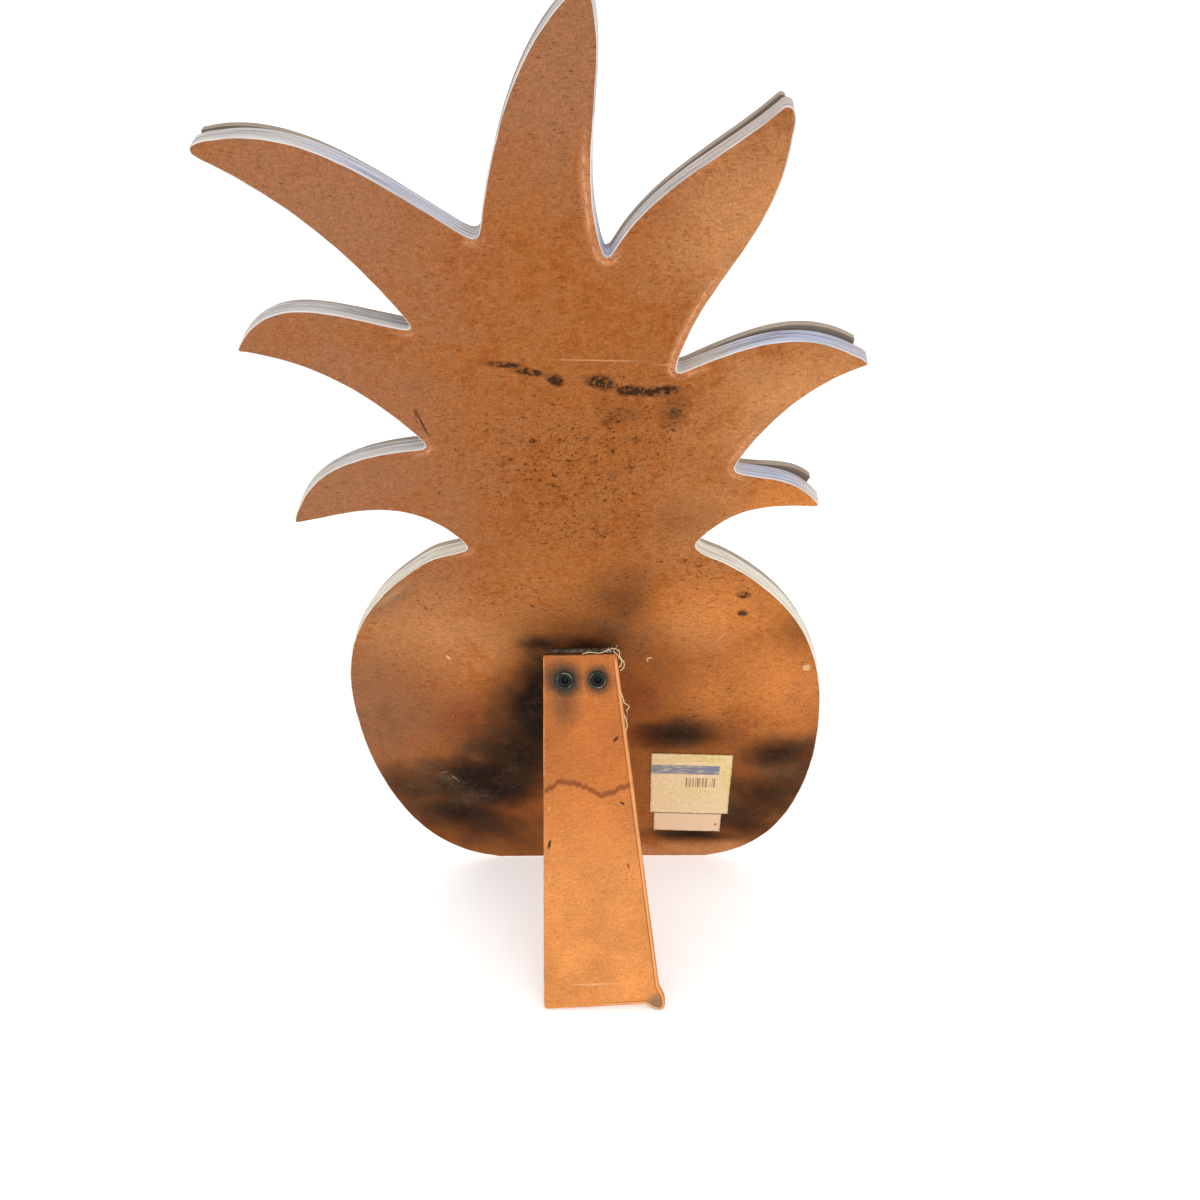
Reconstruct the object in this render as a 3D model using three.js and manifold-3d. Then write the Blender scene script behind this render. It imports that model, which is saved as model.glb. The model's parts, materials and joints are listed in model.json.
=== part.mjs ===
// Pineapple ornament: a flat cut-out board with a thinner front panel glued to it, leaning back
// on a hinged easel leg. Millimetres, +Z up. The front faces -Y and the leg stands behind, at +Y.
// Outlines are drawn as seen from the front, so +X is to the right of that view.

import * as THREE from 'three'
import { mergeVertices } from 'three/addons/utils/BufferGeometryUtils.js'
import Module from 'manifold-3d'

const wasm = await Module()
wasm.setup()

// The cut-out, measured along the leaning board
const panelHeight = 413.5
const panelWidth = 214.8
const boardThickness = 7.2
const frontThickness = 3.2
const arris = 0.4
const glueLine = 0.3

// How it stands
const leanAngle = 11
const legAngle = 21.7
const hingeHeight = 153.1

// The front panel is cut a little smaller and glued on a little crooked
const frontInset = 1
const frontTwist = 0.25

// Softened corners of the outline: a round tip, from this far to each side of its leaf's direction,
// and a reach of each notch along both of its edges
const tipSpread = 74
const notchSoftening = 3.8

// Carving of the front panel
const grooveWidth = 2.6
const grooveDepth = 1.1
const latticeSpacing = 25
const latticeAngle = 38
const latticeMargin = 0.9
const latticeFoot = 0.6
const ribStart = 0.1
const ribReach = 0.86
const ribFade = 0.06

// Easel leg
const legThickness = 3
const legTopWidth = 30.6
const legFootWidth = 52.4
const legTopOffset = -1.3
const legFootOffset = -5.5
const footHollow = 2.7
const footCorner = 2
const splayReach = 1.4
const splayWidth = 7
const splayHeight = 11.5
const splayFlat = 2.1

// Hinge
const hingeMargin = 2.5
const leafThickness = 0.7
const knuckleRadius = 1.5
const pinRadius = 0.6
const pinClearance = 0.3
const knuckleGap = 0.4
const middleKnuckle = 9
const boardLeafHeight = 12
const legLeafHeight = 17
const seatGap = 0.3

// Tubular rivets
const rivetSpacing = 13.9
const rivetDrop = 11.1
const rivetHeadRadius = 3.9
const rivetHeadHeight = 0.9
const rivetRim = 0.3
const rivetShankRadius = 2.1
const rivetBore = 1.5
const rivetFlangeRadius = 3.1
const rivetFlangeThickness = 0.3
const rivetClearance = 0.3
const rivetSeat = 0.2

// Paper ticket: a main part with a narrower torn strip below it
const ticketWidth = 38
const ticketHeight = 45.5
const ticketThickness = 0.3
const ticketTurn = 3
const ticketAside = 46.2
const ticketRise = 59.6
const stripWidth = 33
const stripHeight = 14.6
const stripInset = 2

// Fineness of curved stretches
const edgeSteps = 11
const sideSteps = 20
const cornerSteps = 4
const grooveSteps = 8
const roundSides = 16
const rollSteps = 5

// Joining and cutting
const weldDistance = 1e-4
const cutterOverrun = 0.5

const rad = THREE.MathUtils.degToRad

// A point of the cut-out, in hundredths of its half width and of its height
const at = ([x, y]) => new THREE.Vector2(x * panelWidth / 200, y * panelHeight / 100)

// The fruit's side: a flank below its widest height and a shoulder above it. Each has its reach in
// height, the power of its fall and the power of its rounding.
const fruit = { halfWidth: 96.8, widest: 24.1, flank: [24.7, 1.82, 4.6], shoulder: [29.2, 2.69, 1.82] }
const neckHeight = 49.8

function fruitHalf(y) {
  const above = y > fruit.widest
  const [reach, bend, round] = above ? fruit.shoulder : fruit.flank
  const t = Math.min(Math.abs(y - fruit.widest) / reach, 1)
  return fruit.halfWidth * (1 - t ** bend) ** (1 / round)
}

function fruitSide(side, from, to, steps) {
  const [reach] = fruit.flank
  const [rise] = fruit.shoulder
  const angle = (y) => Math.asin((y - fruit.widest) / (y > fruit.widest ? rise : reach))
  const points = []
  for (let i = 0; i <= steps; i++) {
    const a = THREE.MathUtils.lerp(angle(from), angle(to), i / steps)
    const y = fruit.widest + Math.sin(a) * (a > 0 ? rise : reach)
    points.push(at([side * fruitHalf(y), y]))
  }
  return points
}

// Leaves in order from the right of the neck over the top to the left, as seen from the front. Each
// row holds two bends of the edge that runs out, the tip, two bends of the edge that runs back, and
// the notch where the next leaf starts.
const rightNeck = [35, 50.8]
const leaves = [
  [[52.4, 58.5], [78.1, 55.3], [96.7, 54.7], [87, 61], [69.3, 62.3], [42.6, 62.8]],
  [[57.9, 68.7], [74.9, 72], [97.8, 73.3], [82.4, 79.4], [61.8, 75.8], [39.9, 74.6]],
  [[54.4, 81.7], [69.7, 85.9], [93.7, 90.3], [60.7, 92.6], [39.9, 86.4], [15.8, 82.1]],
  [[9.7, 88.8], [0.2, 96.2], [-21.2, 100], [-27, 94], [-13.6, 87.6], [-21.8, 80]],
  [[-34.5, 85.8], [-56.8, 87.9], [-74, 91.3], [-75.1, 81.5], [-49.1, 78.3], [-41, 69.5]],
  [[-63, 72], [-80.2, 74.2], [-101.9, 69.9], [-82.1, 67.9], [-69.1, 63.9], [-59.5, 59.3]],
  [[-72, 58.1], [-80.6, 58.8], [-89.8, 55.1], [-71, 55.3], [-59.9, 55.3], [-45.8, 50.5]],
]
const tipRadii = [0.9, 1.1, 2.2, 2.2, 2.5, 1.1, 1]

// How far each leaf's tip stands from these places, and how much of it is nipped off square
const boardTips = leaves.map(() => ({ drift: [0, 0], nip: 0 }))
const frontTips = [
  { drift: [0, -1.6], nip: 4 },
  { drift: [0, -0.4], nip: 4 },
  { drift: [1, 1.8], nip: 2 },
  { drift: [0, 0], nip: 4 },
  { drift: [0, 1], nip: 0 },
  { drift: [-0.4, 2.8], nip: 2.4 },
  { drift: [-1.6, 3], nip: 4 },
]

function leafEdges(tips) {
  let start = at(rightNeck)
  return leaves.map((row, i) => {
    const [out1, out2, tip, back1, back2, notch] = row.map(at)
    for (const point of [out2, tip, back1]) point.add(new THREE.Vector2(...tips[i].drift))
    const direction = tip.clone().multiplyScalar(2).sub(out2).sub(back1).normalize()
    const middle = tip.clone().addScaledVector(direction, -tipRadii[i])
    const round = []
    for (let s = 0; s <= cornerSteps; s++) {
      const turn = rad(THREE.MathUtils.lerp(-tipSpread, tipSpread, s / cornerSteps))
      const spoke = direction.clone().rotateAround(new THREE.Vector2(), turn)
      round.push(middle.clone().addScaledVector(spoke, tipRadii[i]))
    }
    const out = new THREE.CubicBezierCurve(start, out1, out2, round[0])
    const back = new THREE.CubicBezierCurve(round.at(-1), back1, back2, notch)
    start = notch
    return { out, round, back }
  })
}

// The whole closed outline, with a round tip on each leaf that is not nipped
function cutOutline(tips) {
  const right = fruitSide(1, 0, neckHeight, sideSteps)
  const left = fruitSide(-1, neckHeight, 0, sideSteps)
  right.push(at(rightNeck))
  left.unshift(at(leaves.at(-1).at(-1)))
  const edges = [new THREE.SplineCurve(right)]
  const rows = leafEdges(tips)
  rows.forEach(({ out, back }) => edges.push(out, back))
  edges.push(new THREE.SplineCurve(left))

  const points = []
  edges.forEach((edge, i) => {
    const length = edge.getLength()
    const tipBefore = i > 0 && i % 2 === 0
    const tipAfter = i % 2 === 1 && i < edges.length - 1
    const leaf = Math.floor((i - 1) / 2)
    const reach = (tip) => (tip ? tips[leaf].nip : notchSoftening)
    const first = i === 0 ? 0 : reach(tipBefore) / length
    const last = i === edges.length - 1 ? 1 : 1 - reach(tipAfter) / length
    const steps = i === 0 || i === edges.length - 1 ? sideSteps : edgeSteps
    for (let s = 0; s <= steps; s++) {
      points.push(edge.getPointAt(THREE.MathUtils.lerp(first, last, s / steps)))
    }
    if (i === edges.length - 1) return
    if (tipAfter) {
      if (!tips[leaf].nip) points.push(...rows[leaf].round.slice(1, -1))
      return
    }
    const next = edges[i + 1]
    const ahead = next.getPointAt(notchSoftening / next.getLength())
    const bend = new THREE.QuadraticBezierCurve(points.at(-1), edge.getPoint(1), ahead)
    points.push(...bend.getPoints(cornerSteps).slice(1, -1))
  })
  return points
}

function plate(points, thickness, softened, inset = 0) {
  const geometry = new THREE.ExtrudeGeometry(new THREE.Shape(points), {
    depth: thickness - 2 * softened,
    bevelEnabled: softened > 0,
    bevelThickness: softened,
    bevelSize: softened,
    bevelOffset: -softened - inset,
    bevelSegments: 1,
  })
  return geometry.translate(0, 0, softened)
}

// Joining and cutting of closed meshes
function solidOf(vertices, index) {
  return new wasm.Manifold(new wasm.Mesh({
    numProp: 3,
    vertProperties: new Float32Array(vertices),
    triVerts: new Uint32Array(index),
  }))
}

function solid(geometry) {
  const bare = geometry.clone()
  bare.deleteAttribute('normal')
  bare.deleteAttribute('uv')
  const welded = mergeVertices(bare, weldDistance)
  return solidOf(welded.attributes.position.array, welded.index.array)
}

function geometryOf(manifold) {
  const mesh = manifold.getMesh()
  const geometry = new THREE.BufferGeometry()
  geometry.setAttribute('position', new THREE.BufferAttribute(new Float32Array(mesh.vertProperties), 3))
  geometry.setIndex(new THREE.BufferAttribute(new Uint32Array(mesh.triVerts), 1))
  geometry.computeVertexNormals()
  return geometry
}

const box = (x, y, z, cx, cy, cz) => solid(new THREE.BoxGeometry(x, y, z).translate(cx, cy, cz))

function rod(radius, length, x, y, z) {
  const geometry = new THREE.CylinderGeometry(radius, radius, length, roundSides)
  return solid(geometry.rotateZ(Math.PI / 2).translate(x, y, z))
}

// A V-shaped cutter along a path on the plane z = top, running out to nothing at its tapered ends
function vCutter(path, top, taper) {
  const above = cutterOverrun
  const slope = grooveWidth / 2 / grooveDepth
  const vertices = []
  path.forEach((point, i) => {
    const before = path[Math.max(i - 1, 0)]
    const after = path[Math.min(i + 1, path.length - 1)]
    const along = after.clone().sub(before).normalize()
    const side = new THREE.Vector2(-along.y, along.x)
    const place = THREE.MathUtils.lerp(ribFade, 1 - ribFade, i / (path.length - 1))
    const share = taper ? Math.sin(Math.PI * place) : 1
    const depth = grooveDepth * share
    const half = (depth + above) * slope
    const left = point.clone().addScaledVector(side, half)
    const right = point.clone().addScaledVector(side, -half)
    vertices.push(left.x, left.y, top + above)
    vertices.push(right.x, right.y, top + above)
    vertices.push(point.x, point.y, top - depth)
  })
  const index = [0, 2, 1]
  for (let i = 0; i < path.length - 1; i++) {
    for (let k = 0; k < 3; k++) {
      const a = 3 * i + k
      const b = 3 * i + (k + 1) % 3
      index.push(a, b, a + 3, b, b + 3, a + 3)
    }
  }
  const end = 3 * (path.length - 1)
  index.push(end, end + 1, end + 2)
  return solidOf(vertices, index)
}

// The crossed grooves of the fruit, kept inside its outline by a margin
function lattice(top) {
  const side = fruitSide(1, latticeFoot, fruit.widest + fruit.shoulder[0] - latticeFoot, 2 * sideSteps)
  const loop = [...side, ...side.map((p) => new THREE.Vector2(-p.x, p.y)).reverse()]
  const middle = at([0, fruit.widest])
  const inset = loop.map((p) => p.clone().sub(middle).multiplyScalar(latticeMargin).add(middle))
  const field = solid(plate(inset, 2 * frontThickness, 0).translate(0, 0, top - frontThickness))
  const reach = panelHeight / 2
  const rows = Math.ceil(reach / latticeSpacing)
  let cuts = null
  for (const turn of [-latticeAngle, latticeAngle]) {
    const along = new THREE.Vector2(Math.sin(rad(turn)), Math.cos(rad(turn)))
    const across = new THREE.Vector2(along.y, -along.x)
    for (let row = -rows; row <= rows; row++) {
      const centre = middle.clone().addScaledVector(across, (row + 0.5) * latticeSpacing)
      const ends = [-reach, reach].map((s) => centre.clone().addScaledVector(along, s))
      const cut = vCutter(ends, top, false)
      cuts = cuts ? cuts.add(cut) : cut
    }
  }
  return cuts.intersect(field)
}

// One tapered rib down the middle of each leaf
function leafRibs(top) {
  return leafEdges(frontTips).map(({ out, back }) => {
    const path = []
    for (let i = 0; i <= grooveSteps; i++) {
      const t = THREE.MathUtils.lerp(ribStart, ribReach, i / grooveSteps)
      path.push(out.getPoint(t).add(back.getPoint(1 - t)).multiplyScalar(0.5))
    }
    return vCutter(path, top, true)
  })
}

function frontPanel() {
  const top = frontThickness
  let panel = solid(plate(cutOutline(frontTips), frontThickness, arris, frontInset))
  panel = panel.subtract(lattice(top))
  for (const rib of leafRibs(top)) panel = panel.subtract(rib)
  return geometryOf(panel)
}

// The leg in its own plane: the hinge axis is at y = 0 and the foot at y = -legLength. One corner
// of the foot is splayed out, and the end between the corners is worn hollow.
const lean = rad(leanAngle)
const legLean = rad(legAngle)
const hingeOff = seatGap + knuckleRadius
const legInner = knuckleRadius + seatGap
const legOuter = legInner + legThickness
const axisHeight = hingeHeight * Math.cos(lean) - hingeOff * Math.sin(lean)
const legLength = (axisHeight + legInner * Math.sin(legLean)) / Math.cos(legLean)

const legCentre = (drop) => THREE.MathUtils.lerp(legTopOffset, legFootOffset, drop / legLength)
const legHalf = (drop) => THREE.MathUtils.lerp(legTopWidth, legFootWidth, drop / legLength) / 2
const rivetPlaces = [1, -1].map((side) => legCentre(rivetDrop) + side * rivetSpacing / 2)

// The splayed corner from its top round to the end, in shares of its reach and height
const splayBulge = [[1, 0.4], [0.8, 0.1], [0.1, 0]]

function legOutline() {
  const foot = -legLength
  const right = legCentre(legLength) + legHalf(legLength)
  const left = legCentre(legLength) - legHalf(legLength)
  const splayTop = legLength - splayHeight
  const heel = new THREE.QuadraticBezierCurve(
    new THREE.Vector2(right - footCorner, foot),
    new THREE.Vector2(right, foot),
    new THREE.Vector2(right, foot + footCorner),
  )
  const points = [
    [legCentre(0) + legHalf(0), 0],
    [legCentre(0) - legHalf(0), 0],
    [legCentre(splayTop) - legHalf(splayTop), -splayTop],
    ...splayBulge.map(([out, up]) => [left - splayReach * out, foot + splayHeight * up]),
    [left + splayFlat, foot],
    [left + splayWidth, foot + footHollow],
  ]
  return [...points.map(([x, y]) => new THREE.Vector2(x, y)), ...heel.getPoints(cornerSteps)]
}

function easelLeg() {
  let leg = solid(plate(legOutline(), legThickness, 0).translate(0, 0, -legOuter))
  for (const x of rivetPlaces) leg = leg.subtract(rivetHole(x, legThickness, -(legInner + legOuter) / 2))
  return geometryOf(leg)
}

function rivetHole(x, depth, z) {
  const radius = rivetShankRadius + rivetClearance
  const hole = new THREE.CylinderGeometry(radius, radius, depth + 2 * cutterOverrun, roundSides)
  return solid(hole.rotateX(Math.PI / 2).translate(x, -rivetDrop, z))
}

// A tubular rivet: rolled head outside the leg, plain shank, small flange behind the hinge leaf
function rivet() {
  const seat = legOuter + rivetSeat
  const back = knuckleRadius - leafThickness - rivetSeat
  const rim = seat + rivetHeadHeight * rivetRim
  const roll = seat + rivetHeadHeight - rim
  const middle = (rivetHeadRadius + rivetBore) / 2
  const profile = [
    [rivetBore, back - rivetFlangeThickness],
    [rivetFlangeRadius, back - rivetFlangeThickness],
    [rivetFlangeRadius, back],
    [rivetShankRadius, back],
    [rivetShankRadius, seat],
    [rivetHeadRadius, seat],
  ]
  for (let i = 0; i <= rollSteps; i++) {
    const turn = Math.PI * i / rollSteps
    profile.push([middle + (rivetHeadRadius - middle) * Math.cos(turn), rim + roll * Math.sin(turn)])
  }
  profile.push(profile[0])
  const section = profile.map(([r, h]) => new THREE.Vector2(r, h))
  return new THREE.LatheGeometry(section, roundSides).rotateX(-Math.PI / 2)
}

// Hinge leaves. spans are the stretches along x that carry a leaf's own knuckles.
const hingeWidth = legTopWidth - 2 * hingeMargin
const sideKnuckle = (hingeWidth - middleKnuckle) / 2 - knuckleGap
const sideCentre = middleKnuckle / 2 + knuckleGap + sideKnuckle / 2
const boardSpans = [[-sideCentre, sideKnuckle], [sideCentre, sideKnuckle]]
const legSpans = [[0, middleKnuckle]]

function hingeLeaf(spans, height, z) {
  const clear = knuckleRadius + knuckleGap
  const plateHeight = height - clear
  let leaf = box(hingeWidth, plateHeight, leafThickness, legTopOffset, -clear - plateHeight / 2, z)
  for (const [x, width] of spans) {
    const tongue = clear + knuckleRadius
    leaf = leaf.add(box(width, tongue, leafThickness, legTopOffset + x, -tongue / 2, z))
    leaf = leaf.add(rod(knuckleRadius, width, legTopOffset + x, 0, 0))
  }
  return leaf.subtract(rod(pinRadius + pinClearance, 2 * hingeWidth, legTopOffset, 0, 0))
}

function hingeBoardLeaf() {
  return geometryOf(hingeLeaf(boardSpans, boardLeafHeight, knuckleRadius - leafThickness / 2))
}

function hingeLegLeaf() {
  const z = -knuckleRadius + leafThickness / 2
  let leaf = hingeLeaf(legSpans, legLeafHeight, z)
  for (const x of rivetPlaces) leaf = leaf.subtract(rivetHole(x, leafThickness, z))
  return geometryOf(leaf)
}

function ticket() {
  const side = ticketWidth / 2
  const top = ticketHeight / 2
  const stripRight = side - stripInset
  const points = [
    [side, top],
    [-side, top],
    [-side, -top],
    [stripRight - stripWidth, -top],
    [stripRight - stripWidth, -top - stripHeight],
    [stripRight, -top - stripHeight],
    [stripRight, -top],
    [side, -top],
  ].map(([x, y]) => new THREE.Vector2(x, y))
  return plate(points, ticketThickness, 0)
}

function named(name, geometry, color, roughness, metalness = 0) {
  const mesh = new THREE.Mesh(geometry, new THREE.MeshStandardMaterial({ color, roughness, metalness }))
  mesh.name = name
  return mesh
}

// The leaning panel: z = 0 is the board's back face, +z runs to the front and -z out of the back
const panel = new THREE.Group()
panel.rotation.x = Math.PI / 2 - lean

const board = named('board', plate(cutOutline(boardTips), boardThickness, arris), 0xa96c40, 0.85)
panel.add(board)

const front = named('front_panel', frontPanel(), 0x96846f, 0.7)
const twistCentre = at([0, fruit.widest])
front.position.set(twistCentre.x, twistCentre.y, boardThickness + glueLine)
front.geometry.translate(-twistCentre.x, -twistCentre.y, 0)
front.rotation.z = -rad(frontTwist)
panel.add(front)

const label = named('ticket', ticket(), 0xe8d2a0, 0.9)
label.position.set(-ticketAside, ticketRise, -seatGap - ticketThickness)
label.rotation.z = rad(ticketTurn)
panel.add(label)

// The hinge line, with the fixed leaf and the pin, and the leg swung out from it
const hinge = new THREE.Group()
hinge.position.set(0, hingeHeight, -hingeOff)
panel.add(hinge)
hinge.add(named('hinge_board_leaf', hingeBoardLeaf(), 0x5a5650, 0.55, 0.9))
const pin = geometryOf(rod(pinRadius, hingeWidth, legTopOffset, 0, 0))
hinge.add(named('hinge_pin', pin, 0x6a6660, 0.5, 0.9))

const leg = new THREE.Group()
leg.rotation.x = lean + legLean
hinge.add(leg)
leg.add(named('easel_leg', easelLeg(), 0xdb8f50, 0.85))
leg.add(named('hinge_leg_leaf', hingeLegLeaf(), 0x5a5650, 0.55, 0.9))
rivetPlaces.forEach((x, i) => {
  const head = named(['rivet_left', 'rivet_right'][i], rivet(), 0x3a3c3a, 0.45, 0.9)
  head.position.set(x, -rivetDrop, 0)
  leg.add(head)
})

// The origin is under the middle of the whole ornament, on the surface that it stands on
const ornament = new THREE.Group()
ornament.add(panel)
ornament.updateMatrixWorld(true)
const extent = new THREE.Box3().setFromObject(ornament, true)
const middle = extent.getCenter(new THREE.Vector3())
panel.position.set(-middle.x, -middle.y, -extent.min.z)

export default ornament
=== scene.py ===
import json
import math

import bmesh
import bpy
import numpy as np
from mathutils import Matrix, Vector
from mathutils import noise as perlin
from mathutils.bvhtree import BVHTree
from mathutils.geometry import delaunay_2d_cdt
from mathutils.kdtree import KDTree


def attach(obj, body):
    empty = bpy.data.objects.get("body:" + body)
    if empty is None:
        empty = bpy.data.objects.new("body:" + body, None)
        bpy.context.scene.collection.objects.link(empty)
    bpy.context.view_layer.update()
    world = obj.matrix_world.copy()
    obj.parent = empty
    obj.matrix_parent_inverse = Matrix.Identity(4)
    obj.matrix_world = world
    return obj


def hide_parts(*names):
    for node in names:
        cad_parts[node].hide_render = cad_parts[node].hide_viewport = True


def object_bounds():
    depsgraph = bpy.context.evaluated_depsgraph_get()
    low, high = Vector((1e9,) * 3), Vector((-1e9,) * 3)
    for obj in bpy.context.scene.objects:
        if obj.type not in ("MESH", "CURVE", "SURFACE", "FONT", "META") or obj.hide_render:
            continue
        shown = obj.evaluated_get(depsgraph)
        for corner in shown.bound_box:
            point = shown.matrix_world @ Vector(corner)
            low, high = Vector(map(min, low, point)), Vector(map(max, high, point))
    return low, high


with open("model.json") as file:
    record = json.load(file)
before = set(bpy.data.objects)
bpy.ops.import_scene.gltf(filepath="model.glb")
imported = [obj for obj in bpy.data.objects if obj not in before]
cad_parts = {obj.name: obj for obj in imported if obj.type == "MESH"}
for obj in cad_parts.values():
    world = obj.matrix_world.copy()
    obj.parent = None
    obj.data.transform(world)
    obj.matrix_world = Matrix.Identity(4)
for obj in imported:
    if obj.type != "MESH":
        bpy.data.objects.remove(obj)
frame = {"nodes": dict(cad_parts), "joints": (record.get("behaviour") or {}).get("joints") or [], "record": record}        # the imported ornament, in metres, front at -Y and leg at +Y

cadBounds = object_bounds()
mm = 0.001
nodes = frame["nodes"]
record = frame["record"]
mounts = {m["name"]: m for m in record["mounts"]}


# A flat coordinate system on a plate: across to the right of someone who stands behind the
# ornament, up along the plate, and out of its back. Its own numbers are millimetres.
class Plane:
    def __init__(self, origin, up, out):
        self.origin = Vector(origin)
        self.up = Vector(up).normalized()
        self.out = Vector(out).normalized()
        self.across = self.up.cross(self.out).normalized()

    def point(self, u, v, w=0.0):
        return self.origin + (self.across * u + self.up * v + self.out * w) * mm

    def matrix(self):
        turned = Matrix((self.across * mm, self.up * mm, self.out * mm)).transposed()
        return Matrix.Translation(self.origin) @ turned.to_4x4()

    def flatten(self, coordinates):
        axes = np.array([self.across, self.up, self.out]).T
        return (np.asarray(coordinates, float) - np.array(self.origin)) @ axes / mm


plates = {
    "boardThickness": 7.2,
    "glueLine": 0.3,
    "frontThickness": 3.2,
    "arris": 0.4,
    "legTilt": 21.7,          # degrees between the leg and upright
    "legInner": 1.8,          # from the hinge line to the leg's inner face
    "legThickness": 3.0,
    "ticketGap": 0.3,
    "ticketThickness": 0.3,
    "ticketTurn": 3.0,        # degrees
}

panelOut = Vector(mounts["back_face"]["axis"])
panelUp = -Vector(mounts["base_edge"]["axis"])
baseEdge = Vector(mounts["base_edge"]["pos_m"])
panel = Plane(baseEdge + panelOut * plates["boardThickness"] / 2 * mm, panelUp, panelOut)

hingePoint = Vector(frame["joints"][0]["pos_m"])
legTilt = math.radians(plates["legTilt"])
legUp = Vector((0, -math.sin(legTilt), math.cos(legTilt)))
legOut = Vector((0, math.cos(legTilt), math.sin(legTilt)))
leg = Plane(Vector((panel.origin.x, hingePoint.y, hingePoint.z)), legUp, legOut)
print("planes ready", [round(c, 5) for c in panel.origin])


def packedShape(node, plane):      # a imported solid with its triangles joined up, and its points on the plane
    shape = bmesh.new()
    shape.from_mesh(nodes[node].data)
    bmesh.ops.remove_doubles(shape, verts=shape.verts, dist=2e-6)
    shape.verts.index_update()
    return shape, plane.flatten([v.co for v in shape.verts])


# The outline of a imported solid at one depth
def outlineAt(node, plane, depth, within=0.05):
    shape, flat = packedShape(node, plane)
    level = np.abs(flat[:, 2] - depth) < within
    follow = {}
    for edge in shape.edges:
        a, b = (v.index for v in edge.verts)
        if not (level[a] and level[b]) or len(edge.link_faces) != 2:
            continue
        steep = sorted(abs(f.normal.dot(plane.out)) for f in edge.link_faces)
        if steep[0] < 0.2 < steep[1]:      # a wall on one side, an arris or a face on the other
            follow.setdefault(a, []).append(b)
            follow.setdefault(b, []).append(a)
    shape.free()
    loops = []
    while follow:
        start = min(follow)
        loop, before, here = [start], None, start
        while True:
            step = [n for n in follow[here] if n != before][0]
            if step == start:
                break
            loop.append(step)
            before, here = here, step
        for index in loop:
            follow.pop(index)
        loops.append(flat[loop, :2])
    loop = max(loops, key=lambda points: np.ptp(points, axis=0).prod())
    ahead = np.roll(loop, -1, 0)
    area = (loop[:, 0] * ahead[:, 1] - ahead[:, 0] * loop[:, 1]).sum()
    return loop if area > 0 else loop[::-1]


def smoothLoop(points, spacing, cornerTurn=55, straightOver=20):
    ahead = np.roll(points, -1, 0) - points
    length = np.linalg.norm(ahead, axis=1)
    unit = ahead / length[:, None]
    unitBefore, lengthBefore = np.roll(unit, 1, 0), np.roll(length, 1)
    tangent = unit * lengthBefore[:, None] + unitBefore * length[:, None]
    tangent /= np.linalg.norm(tangent, axis=1)[:, None]
    turn = np.degrees(np.arccos(np.clip((unit * unitBefore).sum(1), -1, 1)))
    besideStraight = np.maximum(length, lengthBefore) > straightOver
    sharp = (turn > cornerTurn) | ((turn > 12) & besideStraight)
    made = []
    for i, start in enumerate(points):
        j = (i + 1) % len(points)
        steps = max(1, round(length[i] / spacing))
        leave = unit[i] if sharp[i] or length[i] > straightOver else tangent[i]
        arrive = unit[i] if sharp[j] or length[i] > straightOver else tangent[j]
        t = (np.arange(steps) / steps)[:, None]
        made.append(
            (2 * t**3 - 3 * t**2 + 1) * start
            + (t**3 - 2 * t**2 + t) * leave * length[i]
            + (3 * t**2 - 2 * t**3) * points[j]
            + (t**3 - t**2) * arrive * length[i]
        )
    return np.concatenate(made)


def outwardOf(loop):
    along = np.roll(loop, -1, 0) - np.roll(loop, 1, 0)
    along /= np.linalg.norm(along, axis=1)[:, None]
    return np.stack([along[:, 1], -along[:, 0]], 1)


def inside(loop, points):
    result = np.zeros(len(points), bool)
    ahead = np.roll(loop, -1, 0)
    x, y = points[:, 0], points[:, 1]
    for (x0, y0), (x1, y1) in zip(loop, ahead):
        if y0 != y1:
            crosses = (y0 > y) != (y1 > y)
            result ^= crosses & (x < x0 + (y - y0) / (y1 - y0) * (x1 - x0))
    return result


def treeOf(points):
    tree = KDTree(len(points))
    for i, p in enumerate(points):
        tree.insert((p[0], p[1], 0), i)
    tree.balance()
    return tree


def farFrom(tree, points):
    return np.array([tree.find((p[0], p[1], 0))[2] for p in points])


def wander(arc, seed, waves=(0.05, 0.13, 0.31, 0.7)):     # a repeatable unevenness, about -1 to 1
    draw = np.random.default_rng(seed)
    return sum(np.sin(arc * w + draw.uniform(0, 6.3)) for w in waves) / len(waves)


def wornArris(radius, swing, seed):      # the radius of a plate's rounded edge, along its outline
    return lambda arc: radius + swing * wander(arc, seed)


def wornWall(depth, seed):      # how far the wall is worn in, along the outline and down it
    return lambda arc, share: depth + depth * wander(arc, seed + round(share * 10))


# Inner points of a face: rows that follow the rim, then a square lattice, each kept off the others
def facePoints(loop, settings):
    insets, step = settings["insets"], settings["lattice"]
    outward = outwardOf(loop)
    tree = treeOf(loop)
    found = []
    for inset in insets:
        points = loop - outward * inset
        found.append(points[(farFrom(tree, points) > inset * 0.93) & inside(loop, points)])
    low, high = loop.min(0), loop.max(0)
    u, v = np.meshgrid(np.arange(low[0], high[0], step), np.arange(low[1], high[1], step))
    points = np.stack([u.ravel(), v.ravel()], 1)
    points = points[inside(loop, points)]
    found.append(points[farFrom(tree, points) > insets[-1] + 0.45])
    return np.concatenate(found)


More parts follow.
